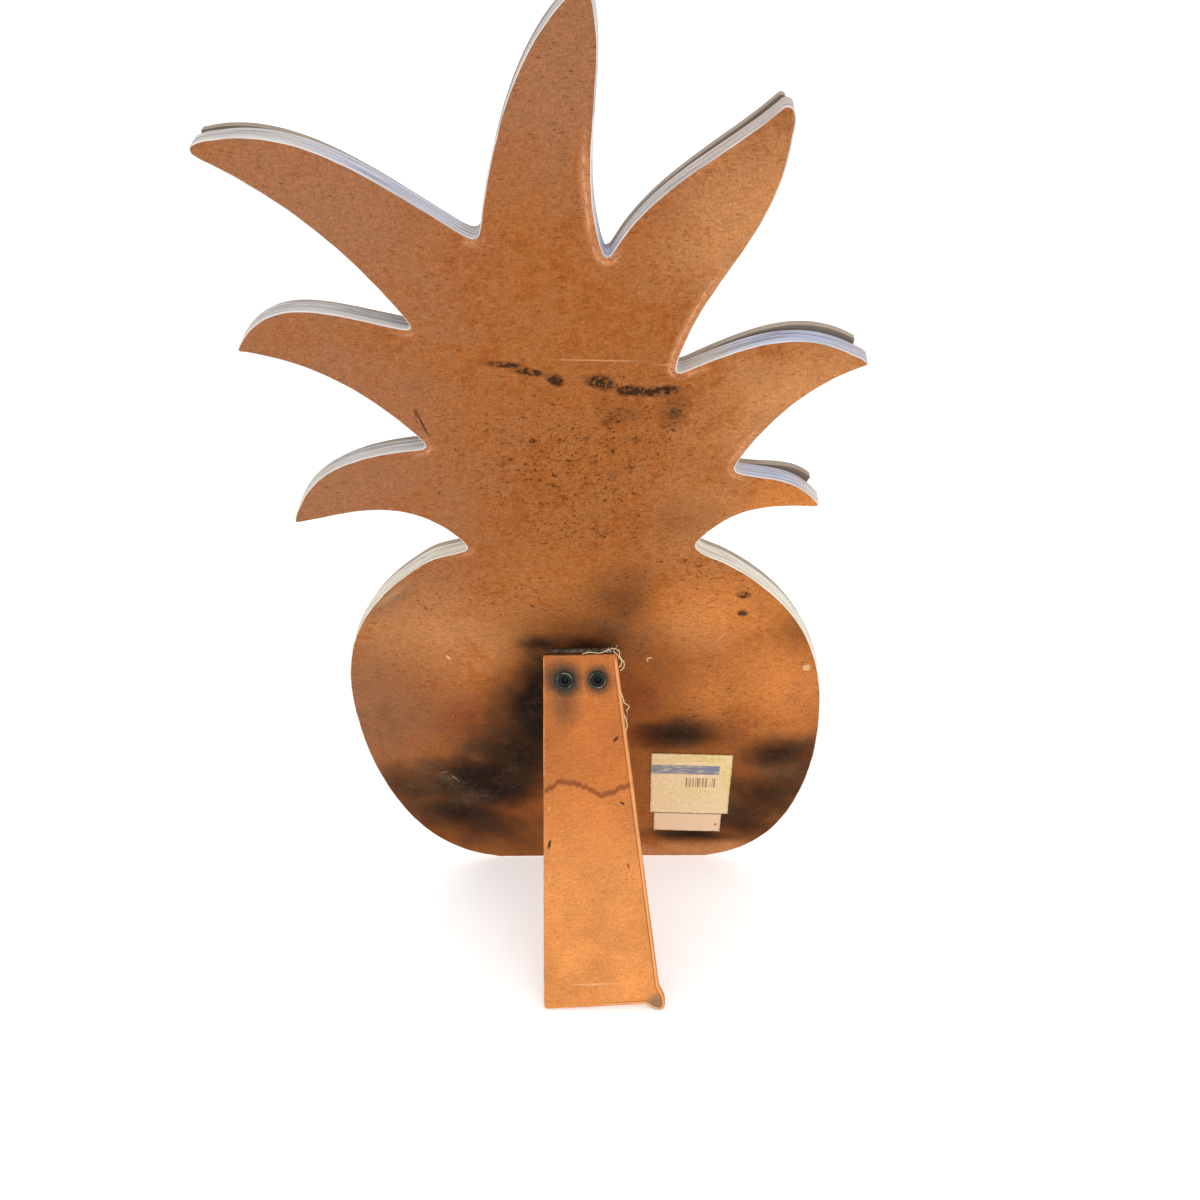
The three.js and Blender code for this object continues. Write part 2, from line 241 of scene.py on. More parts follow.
# A closed plate with a rounded arris round its outline. faces holds the depth, the inner points, the
# creases between them and the carving of the shown face and of the hidden one, which get the first
# and the third material. marks names what is painted on its points, for the finishes to read.
def makePlate(name, loop, plane, faces, settings, materials, holes=(), marks=None):
    arris, worn, wallRows = wornArris(*settings["arris"]), wornWall(*settings["wall"]), settings["wallRows"]
    count = len(loop)
    outward = outwardOf(loop)
    step = np.linalg.norm(np.diff(loop, axis=0), axis=1)
    arc = np.concatenate([[0], np.cumsum(step)])
    radius = arris(arc)[:, None]
    shown, hidden = faces[0][0], faces[1][0]
    inward = 1 if hidden > shown else -1
    tree = treeOf(loop)
    flat, rims, polygons, kinds = [], [], [], []

    def addRow(points, depths, rim):
        flat.append(np.column_stack([points, np.broadcast_to(depths, len(points))]))
        rims.append(np.broadcast_to(rim, len(points)))

    turns = [math.radians(t) for t in (0, 30, 60, 90)]
    for t in turns:
        depth = shown + inward * radius[:, 0] * (1 - math.cos(t))
        addRow(loop - outward * radius * (1 - math.sin(t)), depth, -radius[:, 0] * (1 - math.cos(t)))
    for row in range(1, wallRows):
        share = row / wallRows
        depth = shown + (hidden - shown) * share
        addRow(loop - outward * worn(arc, share)[:, None], depth, -abs(depth - shown))
    for t in reversed(turns):
        depth = hidden - inward * radius[:, 0] * (1 - math.cos(t))
        addRow(loop - outward * radius * (1 - math.sin(t)), depth, -abs(hidden - shown))
    for row in range(len(flat) - 1):
        for i in range(count):
            j = (i + 1) % count
            polygons.append([row * count + k for k in (i, j)] + [(row + 1) * count + k for k in (j, i)])
    kinds += [1] * len(polygons)

    circles = []
    for centre, holeRadius, sides in holes:
        around = np.arange(sides) * 2 * math.pi / sides
        circles.append(centre + holeRadius * np.stack([np.cos(around), np.sin(around)], 1))
    ring = loop - outward * radius
    ends = ((faces[0], 0, 0), (faces[1], len(flat) - 1, 2))
    for (face, inner, creases, carve), ringRow, kind in ends:
        total = sum(len(f) for f in flat)
        for centre, holeRadius, sides in holes:
            inner = inner[np.linalg.norm(inner - centre, axis=1) > holeRadius + 0.4]
        corners = np.concatenate([ring, *circles, inner])
        edges, first = [], 0
        for closed in (ring, *circles):
            edges += [(first + i, first + (i + 1) % len(closed)) for i in range(len(closed))]
            first += len(closed)
        edges += [(first + a, first + b) for a, b in creases]
        corners = [Vector(c) for c in corners]
        points, _, triangles, sources, _, _ = delaunay_2d_cdt(corners, edges, [], 1, 1e-7)
        points = np.array([tuple(p) for p in points])
        carved = carve(points) if carve else np.zeros(len(points))
        addRow(points, face + (1 if face < (shown + hidden) / 2 else -1) * carved, farFrom(tree, points))
        number = np.arange(len(points)) + total
        for i, found in enumerate(sources):
            onRing = [k for k in found if k < count]
            number[i] = ringRow * count + onRing[0] if onRing else number[i]
        for triangle in triangles:
            middle = points[list(triangle)].mean(0)
            if all(np.linalg.norm(middle - centre) > holeRadius * 0.98 for centre, holeRadius, _ in holes):
                polygons.append([int(number[k]) for k in triangle])
                kinds.append(kind)
    for circle in circles:
        total = sum(len(f) for f in flat)
        addRow(circle, shown, 0)
        addRow(circle, hidden, 0)
        sides = len(circle)
        for i in range(sides):
            j = (i + 1) % sides
            polygons.append([total + i, total + j, total + sides + j, total + sides + i])
            kinds.append(1)
    flat = np.concatenate(flat)
    axes = np.array([plane.across, plane.up, plane.out]) * mm
    verts = np.array(plane.origin) + flat @ axes
    mesh = bpy.data.meshes.new(name)
    mesh.from_pydata(np.clip(verts, cadBounds[0], cadBounds[1]).tolist(), [], polygons)
    for material in materials:
        mesh.materials.append(material)
    mesh.polygons.foreach_set("material_index", kinds)
    painted = {"rim": np.concatenate(rims)}
    painted |= {key: mark(flat[:, :2]) for key, mark in (marks or {}).items()}
    for key, values in painted.items():
        mesh.attributes.new(key, "FLOAT", "POINT").data.foreach_set("value", values.astype(np.float32))
    return placed(closeUp(mesh), name)


def closeUp(mesh, distance=1e-6):      # joins what meets, drops what nothing uses, faces outwards
    shape = bmesh.new()
    shape.from_mesh(mesh)
    loose = [v for v in shape.verts if not v.link_faces]
    bmesh.ops.delete(shape, geom=loose, context="VERTS")
    bmesh.ops.remove_doubles(shape, verts=shape.verts, dist=distance)
    bmesh.ops.recalc_face_normals(shape, faces=shape.faces)
    shape.to_mesh(mesh)
    shape.free()
    mesh.shade_smooth()
    return mesh


def clouds(points, size, seed):      # unevenness over a face, about -1 to 1
    return np.array([perlin.fractal((u / size, v / size, seed), 0.9, 2.1, 4) for u, v in points])


# What makePlate paints for broad stains: each spot is a place, half width, half height, turn and
# strength, strongest in its middle and gone at its ragged rim
def stainMark(spots, ragged=0.0, seed=0):
    def painted(points):
        pushed = points + 7 * ragged * np.stack([clouds(points, 30, seed), clouds(points, 30, seed + 9)], 1)
        loose = ragged * (0.35 * clouds(points, 20, seed + 5) + 0.3 * clouds(points, 8, seed + 7))
        total = np.full(len(points), -0.8)
        for u, v, halfWidth, halfHeight, turn, strength in spots:
            c, s = math.cos(math.radians(turn)), math.sin(math.radians(turn))
            x, y = pushed[:, 0] - u, pushed[:, 1] - v
            reach = np.hypot((x * c + y * s) / halfWidth, (y * c - x * s) / halfHeight)
            total = np.maximum(total, strength * np.clip(1.15 * (1 - reach) + loose, -0.8, 1.1))
        return total
    return painted


def catmullRom(points, steps):      # a smooth line through the points
    points = [Vector(p) for p in (points[0], *points, points[-1])]
    made = []
    for a, b, c, d in zip(points, points[1:], points[2:], points[3:]):
        bend, sway = a * 2 - b * 5 + c * 4 - d, b * 3 - a - c * 3 + d
        for i in range(steps):
            t = i / steps
            made.append(tuple((b * 2 + (c - a) * t + bend * t**2 + sway * t**3) / 2))
    return made + [tuple(points[-1])]


def placed(mesh, name):
    piece = bpy.data.objects.new(name, mesh)
    bpy.context.scene.collection.objects.link(piece)
    return piece


def finished(piece, body, slot, *replaced):
    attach(piece, body)
    if replaced:
        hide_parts(*replaced)
    print(piece.name, "made,", len(piece.data.polygons), "faces")


# Node trees, for finishes and for repeated pieces. A Wire is one output, and sums on it add nodes.
def operator(operation, reflected=False):
    def apply(self, other):
        first, second = (other, self) if reflected else (self, other)
        return self.math(operation, first, second)
    return apply


class Wire:
    def __init__(self, graph, socket):
        self.graph = graph
        self.socket = socket

    def math(self, operation, first, *others):
        return self.graph.node("ShaderNodeMath", {"operation": operation}, dict(enumerate((first, *others))))

    __add__ = __radd__ = operator("ADD")
    __mul__ = __rmul__ = operator("MULTIPLY")
    __sub__, __rsub__ = operator("SUBTRACT"), operator("SUBTRACT", reflected=True)
    __truediv__, __rtruediv__ = operator("DIVIDE"), operator("DIVIDE", reflected=True)
    most, least = operator("MAXIMUM"), operator("MINIMUM")

    def __abs__(self):
        return self.math("ABSOLUTE", self)


class Graph:
    def __init__(self, tree):
        self.tree = tree

    def node(self, kind, settings=None, inputs=None, output=0):
        made = self.tree.nodes.new(kind)
        for key, value in (settings or {}).items():
            setattr(made, key, value)
        for key, value in (inputs or {}).items():
            if isinstance(value, Wire):
                self.tree.links.new(value.socket, made.inputs[key])
            else:
                made.inputs[key].default_value = value
        return Wire(self, made.outputs[output])

    def vector(self, x, y, z):
        return self.node("ShaderNodeCombineXYZ", None, {0: x, 1: y, 2: z})

    def vectorMath(self, operation, *parts, output=0):
        return self.node("ShaderNodeVectorMath", {"operation": operation}, dict(enumerate(parts)), output)


def tone(red, green, blue):      # a screen colour, 0 to 255, as the light it stands for
    parts = [c / 255 for c in (red, green, blue)]
    return (*[p / 12.92 if p <= 0.04045 else ((p + 0.055) / 1.055) ** 2.4 for p in parts], 1)


# A finish on a plane's own millimetres. Its tones are the triples in the piece's dictionary, and a
# colour is a wire, a tone, or the name of one of those. lay puts one more coat on the colour so far.
class Paint(Graph):
    def __init__(self, name, plane, settings):
        self.tones = {k: tone(*v) for k, v in settings.items() if isinstance(v, tuple) and len(v) == 3}
        self.material = bpy.data.materials.new(name)
        self.material.use_nodes = True
        super().__init__(self.material.node_tree)
        self.shader = self.tree.nodes["Principled BSDF"]
        spot = self.node("ShaderNodeTexCoord", output=3)
        spot = self.vectorMath("SUBTRACT", spot, plane.origin)
        axes = (plane.across, plane.up, plane.out)
        self.u, self.v, self.w = [self.vectorMath("DOT_PRODUCT", spot, a / mm, output=1) for a in axes]
        self.face = self.vector(self.u, self.v, 0.0)

    def noise(self, scale, detail=3.0, roughness=0.55, stretch=(1, 1, 1), shift=0.0):
        where = self.vector(self.u * stretch[0] + shift, self.v * stretch[1], self.w * stretch[2])
        inputs = {"Vector": where, "Scale": scale, "Detail": detail, "Roughness": roughness}
        return self.node("ShaderNodeTexNoise", None, inputs)

    def swing(self, *given, **options):      # a noise spread out to about -1 to 1
        return (self.noise(*given, **options) - 0.5) * 5

    def between(self, value, low, high):      # 0 at low, 1 at high, smooth in between
        settings = {"interpolation_type": "SMOOTHSTEP"}
        return self.node("ShaderNodeMapRange", settings, {0: value, 1: low, 2: high, 3: 0.0, 4: 1.0})

    def mix(self, share, first, second):
        first, second = (self.tones.get(c, c) for c in (first, second))
        return self.node("ShaderNodeMix", {"data_type": "RGBA"}, {0: share, 6: first, 7: second}, 2)

    def lay(self, share, shade):
        self.colour = self.mix(share, self.colour, shade)

    def lighten(self, factor):      # over 1 is lighter, under 1 darker
        self.colour = self.vectorMath("MULTIPLY", self.colour, self.vector(factor, factor, factor))

    # A stain: 1 in its middle, 0 past its rim. ragged shifts the rim by the wire that is given.
    def blot(self, u, v, halfWidth, halfHeight, turn=0.0, soft=0.8, ragged=0.0):
        inputs = {
            "Vector": self.face,
            "Location": (u, v, 0),
            "Rotation": (0, 0, math.radians(turn)),
            "Scale": (halfWidth, halfHeight, 1),
        }
        spot = self.node("ShaderNodeMapping", {"vector_type": "TEXTURE"}, inputs)
        reach = self.vectorMath("LENGTH", spot, output=1)
        return self.between(reach + ragged, 1.0, 1.0 - soft)

    def blots(self, spots, ragged=0.0):      # each spot is a stain's place and size, then its strength
        total = None
        for *spot, strength in spots:
            one = self.blot(*spot, ragged=ragged) * strength
            total = one if total is None else total.most(one)
        return total

    # Small flecks, one at most in each cell. share is how many of the cells have one.
    def flecks(self, scale, size, share, bend, shift=0.0):
        pushed = self.vectorMath("ADD", self.vectorMath("ADD", self.face, bend), (shift, 0, 0))
        inputs = {"Vector": pushed, "Scale": scale}
        near = self.node("ShaderNodeTexVoronoi", None, inputs)
        cell = Wire(self, near.socket.node.outputs["Color"])
        drawn = self.vectorMath("DOT_PRODUCT", cell, (1, 0, 0), output=1)
        other = self.vectorMath("DOT_PRODUCT", cell, (0, 1, 0), output=1)
        reach = size * (0.4 + 0.6 * other)
        return self.between(near - reach, 0.06, -0.06) * self.between(drawn, share + 0.02, share - 0.02)

    def mark(self, name):      # "rim" is millimetres from the outline, on a face
        return self.node("ShaderNodeAttribute", {"attribute_name": name}, output=2)

    def done(self, roughness, bump=None, bumpDepth=0.1, fixed=None):
        self.tree.links.new(self.colour.socket, self.shader.inputs["Base Color"])
        if isinstance(roughness, Wire):
            self.tree.links.new(roughness.socket, self.shader.inputs["Roughness"])
        else:
            self.shader.inputs["Roughness"].default_value = roughness
        for key, value in (fixed or {}).items():
            self.shader.inputs[key].default_value = value
        if bump is not None:
            raised = self.node("ShaderNodeBump", None, {"Distance": bumpDepth * mm, "Height": bump})
            self.tree.links.new(raised.socket, self.shader.inputs["Normal"])
        return self.material


# The board, with its brown back and pale painted edge. Each stain has its tone, how ragged its rim is,
# and its spots; the dark umber and soot stains are partly real stain and partly painted shadow. A spot is its
# place, half width, half height and turn, then how soft its rim is where it isn't a broad stain, and last its
# strength.
board = {
    "spacing": 1.0, "insets": [0.6, 1.3, 2.2], "lattice": 2.6, "wallRows": 7,
    "arris": [0.42, 0.16, 3], "wall": [0.05, 4],      # sizes, and last the seed
    "base": (150, 85, 38), "warmer": (167, 101, 50), "speck": (62, 34, 12), "scrape": (214, 166, 124),
    "grime": (40, 29, 20), "scored": (70, 40, 26), "rubbed": (206, 140, 98), "halo": (226, 186, 146),
    "bruised": (112, 68, 42), "overspray": (224, 210, 194),
    # the edge's tones include a painted highlight by the back face and a painted shade by the front panel
    "cool": (205, 198, 195), "warm": (230, 221, 206), "blue": (194, 199, 224), "line": (124, 120, 124),
    "sunned": (202, 184, 168), "warmLine": (170, 154, 134), "rimHighlight": (238, 232, 224), "gapShade": (112, 104, 98),
    "dirt": (150, 128, 104),
    "stains": {
        "purplish": ((155, 103, 70), 0.5, [
            (-95, 250, 80, 130, 0, 1.0), (-70, 350, 70, 70, 0, 1.0), (-98, 120, 56, 70, 0, 0.85),
            (10, 400, 70, 60, 0, 1.0), (75, 350, 50, 50, 0, 0.7), (-60, 90, 30, 24, 0, 0.35),
        ]),
        "orange": ((208, 127, 63), 0.45, [
            (86, 131, 38, 44, 0, 0.8), (60, 172, 46, 30, 0, 0.75), (92, 222, 40, 24, 0, 1.1),
            (-40, 140, 30, 24, 0, 0.3), (56, 122, 22, 26, 0, 0.5), (-6, 192, 30, 14, 0, 0.1),
        ]),
        "tan": ((192, 130, 80), 0.45, [
            (92, 272, 50, 30, 15, 1.1), (72, 340, 34, 44, -20, 0.9), (-60, 165, 50, 30, 0, 0.6),
            (50, 3, 52, 10, 0, 1.1), (54, 220, 26, 34, 0, 0.5), (48, 165, 14, 20, 0, 0.4),
        ]),
        "russet": ((126, 52, 20), 0.6, [
            (106, 66, 11, 46, -10, 0.9), (94, 22, 24, 12, 40, 1.0), (-106, 60, 8, 45, 16, 0.6),
            (-84, 22, 24, 9, -36, 0.8), (28, 96, 20, 12, 0, 0.8), (26, 124, 20, 20, 0, 0.35),
            (-52, 108, 30, 16, 10, 0.5), (-50, 38, 22, 14, 0, 0.5),
        ]),
        # partly real dark stain, partly painted shadow: the leg's shadow on its left and right, the shade over
        # its top, and the shadow under the ticket
        "umberAndShadow": ((72, 42, 20), 0.42, [
            (-54, 64, 52, 34, 12, 1.0), (-90, 60, 34, 26, 0, 0.8), (-70, 38, 40, 28, 0, 0.95),
            (-92, 108, 40, 44, 0, 0.22), (-56, 26, 44, 24, 0, 0.8), (-28, 100, 26, 60, -6, 0.95),
            (-42, 84, 34, 26, 0, 0.8), (2, 160, 32, 16, 0, 0.55), (20, 180, 17, 24, 0, 0.55),
            (28, 150, 24, 24, 0, 0.25), (42, 95, 34, 15, -4, 1.0), (30, 97, 16, 12, 0, 0.7),
            (88, 80, 28, 18, 0, 0.95), (80, 50, 36, 38, 0, 0.85), (98, 68, 15, 26, 0, 0.6),
            (72, 26, 30, 18, 0, 0.9), (46, 19, 32, 9, -3, 1.0), (58, 40, 30, 34, 0, 0.8),
            (47, 221, 16, 14, 0, 0.35), (-40, 16, 40, 22, 0, 0.5), (90, 160, 12, 22, 10, 0.35),
            (14, 100, 20, 60, 0, 0.15),
        ]),
        # black stain, partly painted shadow along the leg's left side, over its top and under the ticket
        "sootAndShadow": ((34, 21, 12), 0.4, [
            (-56, 66, 36, 20, 14, 1.0), (-48, 55, 30, 18, 0, 1.1), (-66, 38, 26, 20, 0, 0.8),
            (-33, 80, 26, 32, 20, 0.9), (-19, 116, 16, 50, -7, 1.25), (-13, 156, 15, 10, 0, 0.9),
            (5, 155, 20, 7, 0, 0.85), (15, 160, 13, 12, 0, 0.4), (-2, 167, 24, 12, 0, 0.2),
            (41, 96, 20, 12, 0, 0.7), (88, 82, 20, 14, 0, 0.65), (78, 51, 24, 22, 0, 0.35),
            (72, 34, 20, 15, 0, 0.6), (93, 60, 16, 20, 0, 0.4), (46, 18.5, 24, 6, -3, 0.9),
        ]),
        "dusty": ((118, 92, 70), 0.55, [
            (-74, 70, 10, 8, -20, 0.3), (-68, 63, 7, 6, 30, 0.25), (-58, 50, 9, 6, 0, 0.15),
            (-84, 62, 10, 6, 0, 0.1), (90, 66, 12, 8, 0, 0.1), (-76, 182, 18, 6, 40, 0.4),
        ]),
    },
    "speckled": [
        (4, 250, 58, 44, 0, 1.1), (10, 222, 60, 26, 0, 0.8), (30, 268, 40, 34, 0, 1.0),
        (0, 180, 110, 50, 0, 0.45), (60, 110, 60, 50, 0, 0.5), (50, 200, 40, 40, 0, 0.6),
    ],
    "worn": [
        (-17, 336, 10, 9, 0, 0.5), (-36, 331, 30, 9, -35, 0.9), (-43, 305, 9, 9, 0, 0.5),
        (-46, 257, 9, 9, 0, 0.5), (22, 332, 9, 12, 0, 0.8), (52, 304, 14, 30, -28, 1.1),
        (64, 243, 8, 8, 0, 0.5), (66, 258, 14, 14, -35, 0.6), (-38, 208, 9, 9, 0, 0.5),
        (17, 352, 7, 30, 0, 1.0),
    ],
    "scraped": [
        (-74, 186, 15, 2.5, 40, 0.9, 0.3), (96.6, 139, 2.0, 2.4, 0, 0.4, 1.0),
        (95.6, 138.4, 1.1, 1.5, 0, 0.3, -1.6), (-56, 149, 0.7, 1.9, 30, 0.4, 1.0),
        (30, 146.5, 1.7, 0.6, 10, 0.4, 0.9), (29.2, 145.2, 0.5, 1.2, 0, 0.4, 0.8),
        (18, 294.4, 20, 0.45, -3.5, 0.6, 0.45), (60, 158, 5, 0.4, 55, 0.8, 0.5),
        (44, 291.6, 9, 0.4, -2, 0.6, 0.4), (-60, 110, 4, 0.3, 60, 0.8, 0.4),
        (-66, 66, 4, 0.4, -60, 0.8, 0.5), (-70, 70, 3, 0.4, 20, 0.8, 0.4),
    ],
    "grimy": [
        (-5, 290.5, 8, 2.2, -12, 0.8, 0.9), (3, 287, 5, 3.4, -30, 0.8, 1.1),
        (18.5, 285.5, 8.5, 4.2, -15, 0.8, 1.2), (29, 281.8, 8, 3.4, -4, 0.8, 1.2),
        (38, 281, 8.5, 3.2, 3, 0.8, 1.2), (-14, 294, 8, 1.8, -6, 0.8, 0.8),
        (26, 272, 12, 6, 0, 0.9, 0.3), (44, 272, 8, 10, 0, 0.9, 0.4),
        (69.7, 182.6, 4.2, 3.4, 0, 0.9, 1.3), (68.9, 172.3, 3.0, 2.6, 0, 0.9, 1.2),
    ],
    "scratch": [(-46.4, 270, 0.5, 7.5, 14, 0.5, 0.9), (-48, 275, 0.9, 2.5, 0, 0.6, 0.6)],
    "blueSpots": [
        (-50, 350, 40, 22, -33, 0.8, 1.0), (84, 296, 34, 18, 0, 0.8, 1.0), (78, 240, 24, 12, 0, 0.8, 0.9),
        (23, 334, 8, 8, 0, 0.8, 0.8),
    ],
}


def backFinish():
    paint = Paint("board back", panel, board)
    broad = paint.swing(0.035, 5, 0.62)
    cloud = paint.swing(0.11, 5, 0.65, shift=40)
    mottle = paint.swing(0.33, 4, 0.65, shift=70)
    fine = paint.swing(0.8, 4, 0.7)
    grain = paint.swing(1.7, 3, 0.7, (1, 0.45, 1))
    fibres = paint.swing(1.0, 3, 0.7, (0.4, 1.6, 1), 9)
    uneven = broad * 0.25 + cloud * 0.3 + mottle * 0.22 + fine * 0.12
    warm = paint.between(broad + cloud + mottle * 0.8, -1.8, 1.8)
    paint.colour = paint.mix(warm, "base", "warmer")
    pale = paint.between(paint.swing(1.1, 2, 0.6, (0.7, 1.4, 1), 57), 1.2, 1.7)
    paint.lay(pale * 0.4, "scrape")
    # the stains go on in turn; the umber and soot ones lay painted shadow as well as stain
    for name, (shade, ragged, _) in board["stains"].items():
        share = paint.between(paint.mark(name) + uneven * ragged, -0.2, 1.0)
        paint.lay(share, tone(*shade))
    rim = paint.mark("rim")
    worn = paint.between(paint.mark("worn") + cloud * 0.3, 0.05, 0.7)
    band = paint.between(rim + cloud * 0.6 + mottle * 0.5, 4.4, 2.4) * worn * 0.5
    paint.lay(band, "rubbed")
    speckle = 1.0 + 0.17 * fine + 0.2 * grain + 0.17 * fibres + 0.1 * mottle
    paint.lighten(speckle)
    where = paint.between(paint.mark("speckled") + uneven * 0.5, -0.2, 0.9)
    specks = paint.between(paint.swing(0.32, 4, 0.72, (1, 1.2, 1), 131) + where * 0.34, 0.74, 0.98)
    specks = specks.most(paint.between(paint.swing(0.75, 3, 0.66, shift=31) + where * 0.3, 0.76, 1.0) * 0.85)
    specks = specks.most(paint.between(paint.swing(0.14, 5, 0.78, shift=61) + where * 0.45, 0.72, 1.15) * 0.6)
    dashes = paint.between(paint.swing(0.5, 2, 0.6, (0.5, 2.2, 1), 17) + where * 0.15, 0.76, 1.0)
    dark = (specks * (0.5 + 0.35 * where)).most(dashes * 0.6)
    paint.lay(dark, "speck")
    grimy = paint.blots(board["grimy"], uneven * 0.7)
    crumbs = paint.between(mottle + fine * 0.7 + grain * 0.3, -0.45, 0.35)
    paint.lay((grimy * (0.25 + crumbs * 1.5)).least(0.94), "grime")
    paint.lay(paint.blots(board["scratch"], cloud * 0.15), "scored")
    paint.lay(paint.blots(board["scraped"], fine * 0.2), "scrape")
    halo = paint.between(abs(rim - 2.4 - broad * 0.5), 0.6, 0.1) * worn * paint.between(mottle, -0.5, 0.5)
    paint.lay(halo * 0.35, "halo")
    bruised = paint.between(rim + fine * 0.2, 0.8, 0.3) * paint.between(cloud, -0.6, 0.6)
    paint.lay(bruised * 0.35, "bruised")
    white = paint.between(rim + fine * 0.09 + broad * 0.1, 0.18, 0.06)
    paint.lay(white * 0.7, "overspray")
    height = fine * 0.2 + grain * 0.16 + fibres * 0.14 - specks * 0.15
    shine = 0.66 + 0.05 * fine
    return paint.done(shine, height, 0.14, {"Specular IOR Level": 0.04})


def paintedEdge():
    paint = Paint("board edge", panel, board)
    broad = paint.noise(0.03, 3, 0.6)
    fine = paint.noise(0.8, 3, 0.6)
    threads = paint.noise(1.0, 2, 0.5, (0.012, 0.012, 0.85))
    hairs = paint.noise(1.0, 2, 0.5, (0.02, 0.02, 2.1), 60)
    high = paint.between(paint.v + (broad - 0.5) * 60, 205, 275)
    paint.colour = paint.mix(high, "warm", "cool")
    paint.lay(paint.between(paint.u, 20, 60) * high * 0.6, "sunned")
    blue = paint.blots(board["blueSpots"], (broad - 0.5) * 0.6)
    paint.lay(blue, "blue")
    lineTone = paint.mix(high, "warmLine", "line")
    lines = paint.between(abs(threads - 0.5), 0.045, 0.01)
    paint.lay(lines * 0.75, lineTone)
    thin = paint.between(abs(hairs - 0.46), 0.05, 0.01)
    paint.lay(thin * 0.4, lineTone)
    # a painted highlight along the edge next to the back face
    rimHighlight = paint.between(paint.w + (threads - 0.5) * 0.8, -0.9, -0.4)
    paint.lay(rimHighlight * 0.3, "rimHighlight")
    # painted shade in the gap next to the front panel
    paint.lay(paint.between(paint.w, -6.4, -7.0) * 0.7, "gapShade")
    low = paint.between(paint.v, 60, 15)
    paint.lay(low * paint.between(fine, 0.4, 0.7) * 0.5, "dirt")
    paint.lighten(0.93 + 0.14 * fine)
    height = lines * -0.6 + thin * -0.3 + fine * 0.3
    return paint.done(0.55 + 0.15 * (fine - 0.5), height, 0.1, {"Specular IOR Level": 0.35})


backPaint, edgePaint = backFinish(), paintedEdge()
boardLoop = smoothLoop(outlineAt("board", panel, -plates["arris"]), board["spacing"])
boardInner = facePoints(boardLoop, board)
boardMarks = {
    name: stainMark(spots, ragged, 10 * i)
    for i, (name, (_, ragged, spots)) in enumerate(board["stains"].items())
}
for name in ("speckled", "worn"):
    boardMarks[name] = stainMark(board[name])
cutBoard = makePlate(
    "cutBoard", boardLoop, panel,
    ((0.0, boardInner, (), None), (-plates["boardThickness"], boardInner, (), None)),
    board, (backPaint, edgePaint, edgePaint), marks=boardMarks,
)
finished(cutBoard, "panel", "board", "board")


# The front panel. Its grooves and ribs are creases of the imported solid, and its depth is read there.
carvedFront = {
    "spacing": 1.0, "insets": [0.7, 1.5, 2.4], "lattice": 2.0, "wallRows": 4,
    "arris": [0.34, 0.1, 21], "wall": [0.04, 22],
    "creaseTurn": 6, "creaseStep": 0.8, "creaseClear": 0.6,      # degrees, then millimetres
    "paint": (172, 155, 138), "dull": (152, 135, 117), "groove": (92, 78, 64), "worn": (204, 190, 170),
}
frontBack = -plates["boardThickness"] - plates["glueLine"]
frontFace = frontBack - plates["frontThickness"]


def paintedFront():
    paint = Paint("front paint", panel, carvedFront)
    broad = paint.noise(0.03, 4, 0.6)
    fine = paint.noise(0.6, 4, 0.65)
    brushed = paint.noise(0.9, 3, 0.6, (1, 0.12, 1), 20)
    rim = paint.mark("rim")
    onFace = paint.between(rim, 0.05, 0.5)
    paint.colour = paint.mix(paint.between(broad + (fine - 0.5) * 0.3, 0.35, 0.65), "paint", "dull")
    grooved = paint.between(paint.w + (fine - 0.5) * 0.2, -10.62, -9.95) * onFace
    paint.lay(grooved * 0.8, "groove")
    proud = paint.between(abs(paint.w + 10.5), 0.25, 0.05) * paint.between(fine, 0.45, 0.65)
    paint.lay(proud * onFace * 0.35, "worn")
    # painted shade on the wall next to the board, in the gap between the panels
    gapShade = paint.between(paint.w, -8.1, -7.6) * paint.between(rim, 0.5, 0.05)
    paint.lay(gapShade * 0.75, "groove")
    paint.lighten(0.84 + 0.2 * fine + 0.12 * brushed)
    return paint.done(0.6 + 0.2 * (fine - 0.5), fine * 0.4 + brushed * 0.6, 0.1,
                      {"Specular IOR Level": 0.3})


def creasesOf(node, plane, loop):
    shape, flat = packedShape(node, plane)
    flat = flat[:, :2]
    clear = inside(loop, flat) & (farFrom(treeOf(loop), flat) > 0.9)
    turned = math.cos(math.radians(carvedFront["creaseTurn"]))
    pairs = []
    for edge in shape.edges:
        a, b = (v.index for v in edge.verts)
        if len(edge.link_faces) != 2 or not (clear[a] and clear[b]):
            continue
        first, second = (f.normal for f in edge.link_faces)
        fromFront = max(first.dot(plane.out), second.dot(plane.out)) < -0.2
        if fromFront and first.dot(second) < turned:
            pairs.append((a, b))
    shape.free()
    used = sorted({i for pair in pairs for i in pair})
    return flat[used], [(used.index(a), used.index(b)) for a, b in pairs]


def alongEdges(points, pairs, step):
    made = [points]
    for a, b in pairs:
        steps = int(np.linalg.norm(points[b] - points[a]) / step)
        made.append(points[a] + (points[b] - points[a]) * (np.arange(1, steps) / max(steps, 1))[:, None])
    return np.concatenate(made)


def depthOn(node, plane, start):
    mesh = nodes[node].data
    tree = BVHTree.FromPolygons([v.co for v in mesh.vertices], [tuple(p.vertices) for p in mesh.polygons])

    def depth(points):
        found = []
        for u, v in points:
            hit = tree.ray_cast(plane.point(u, v, start), plane.out)[0]
            found.append(frontFace if hit is None else plane.flatten([hit])[0, 2])
        return np.maximum(np.array(found) - frontFace, 0)
    return depth


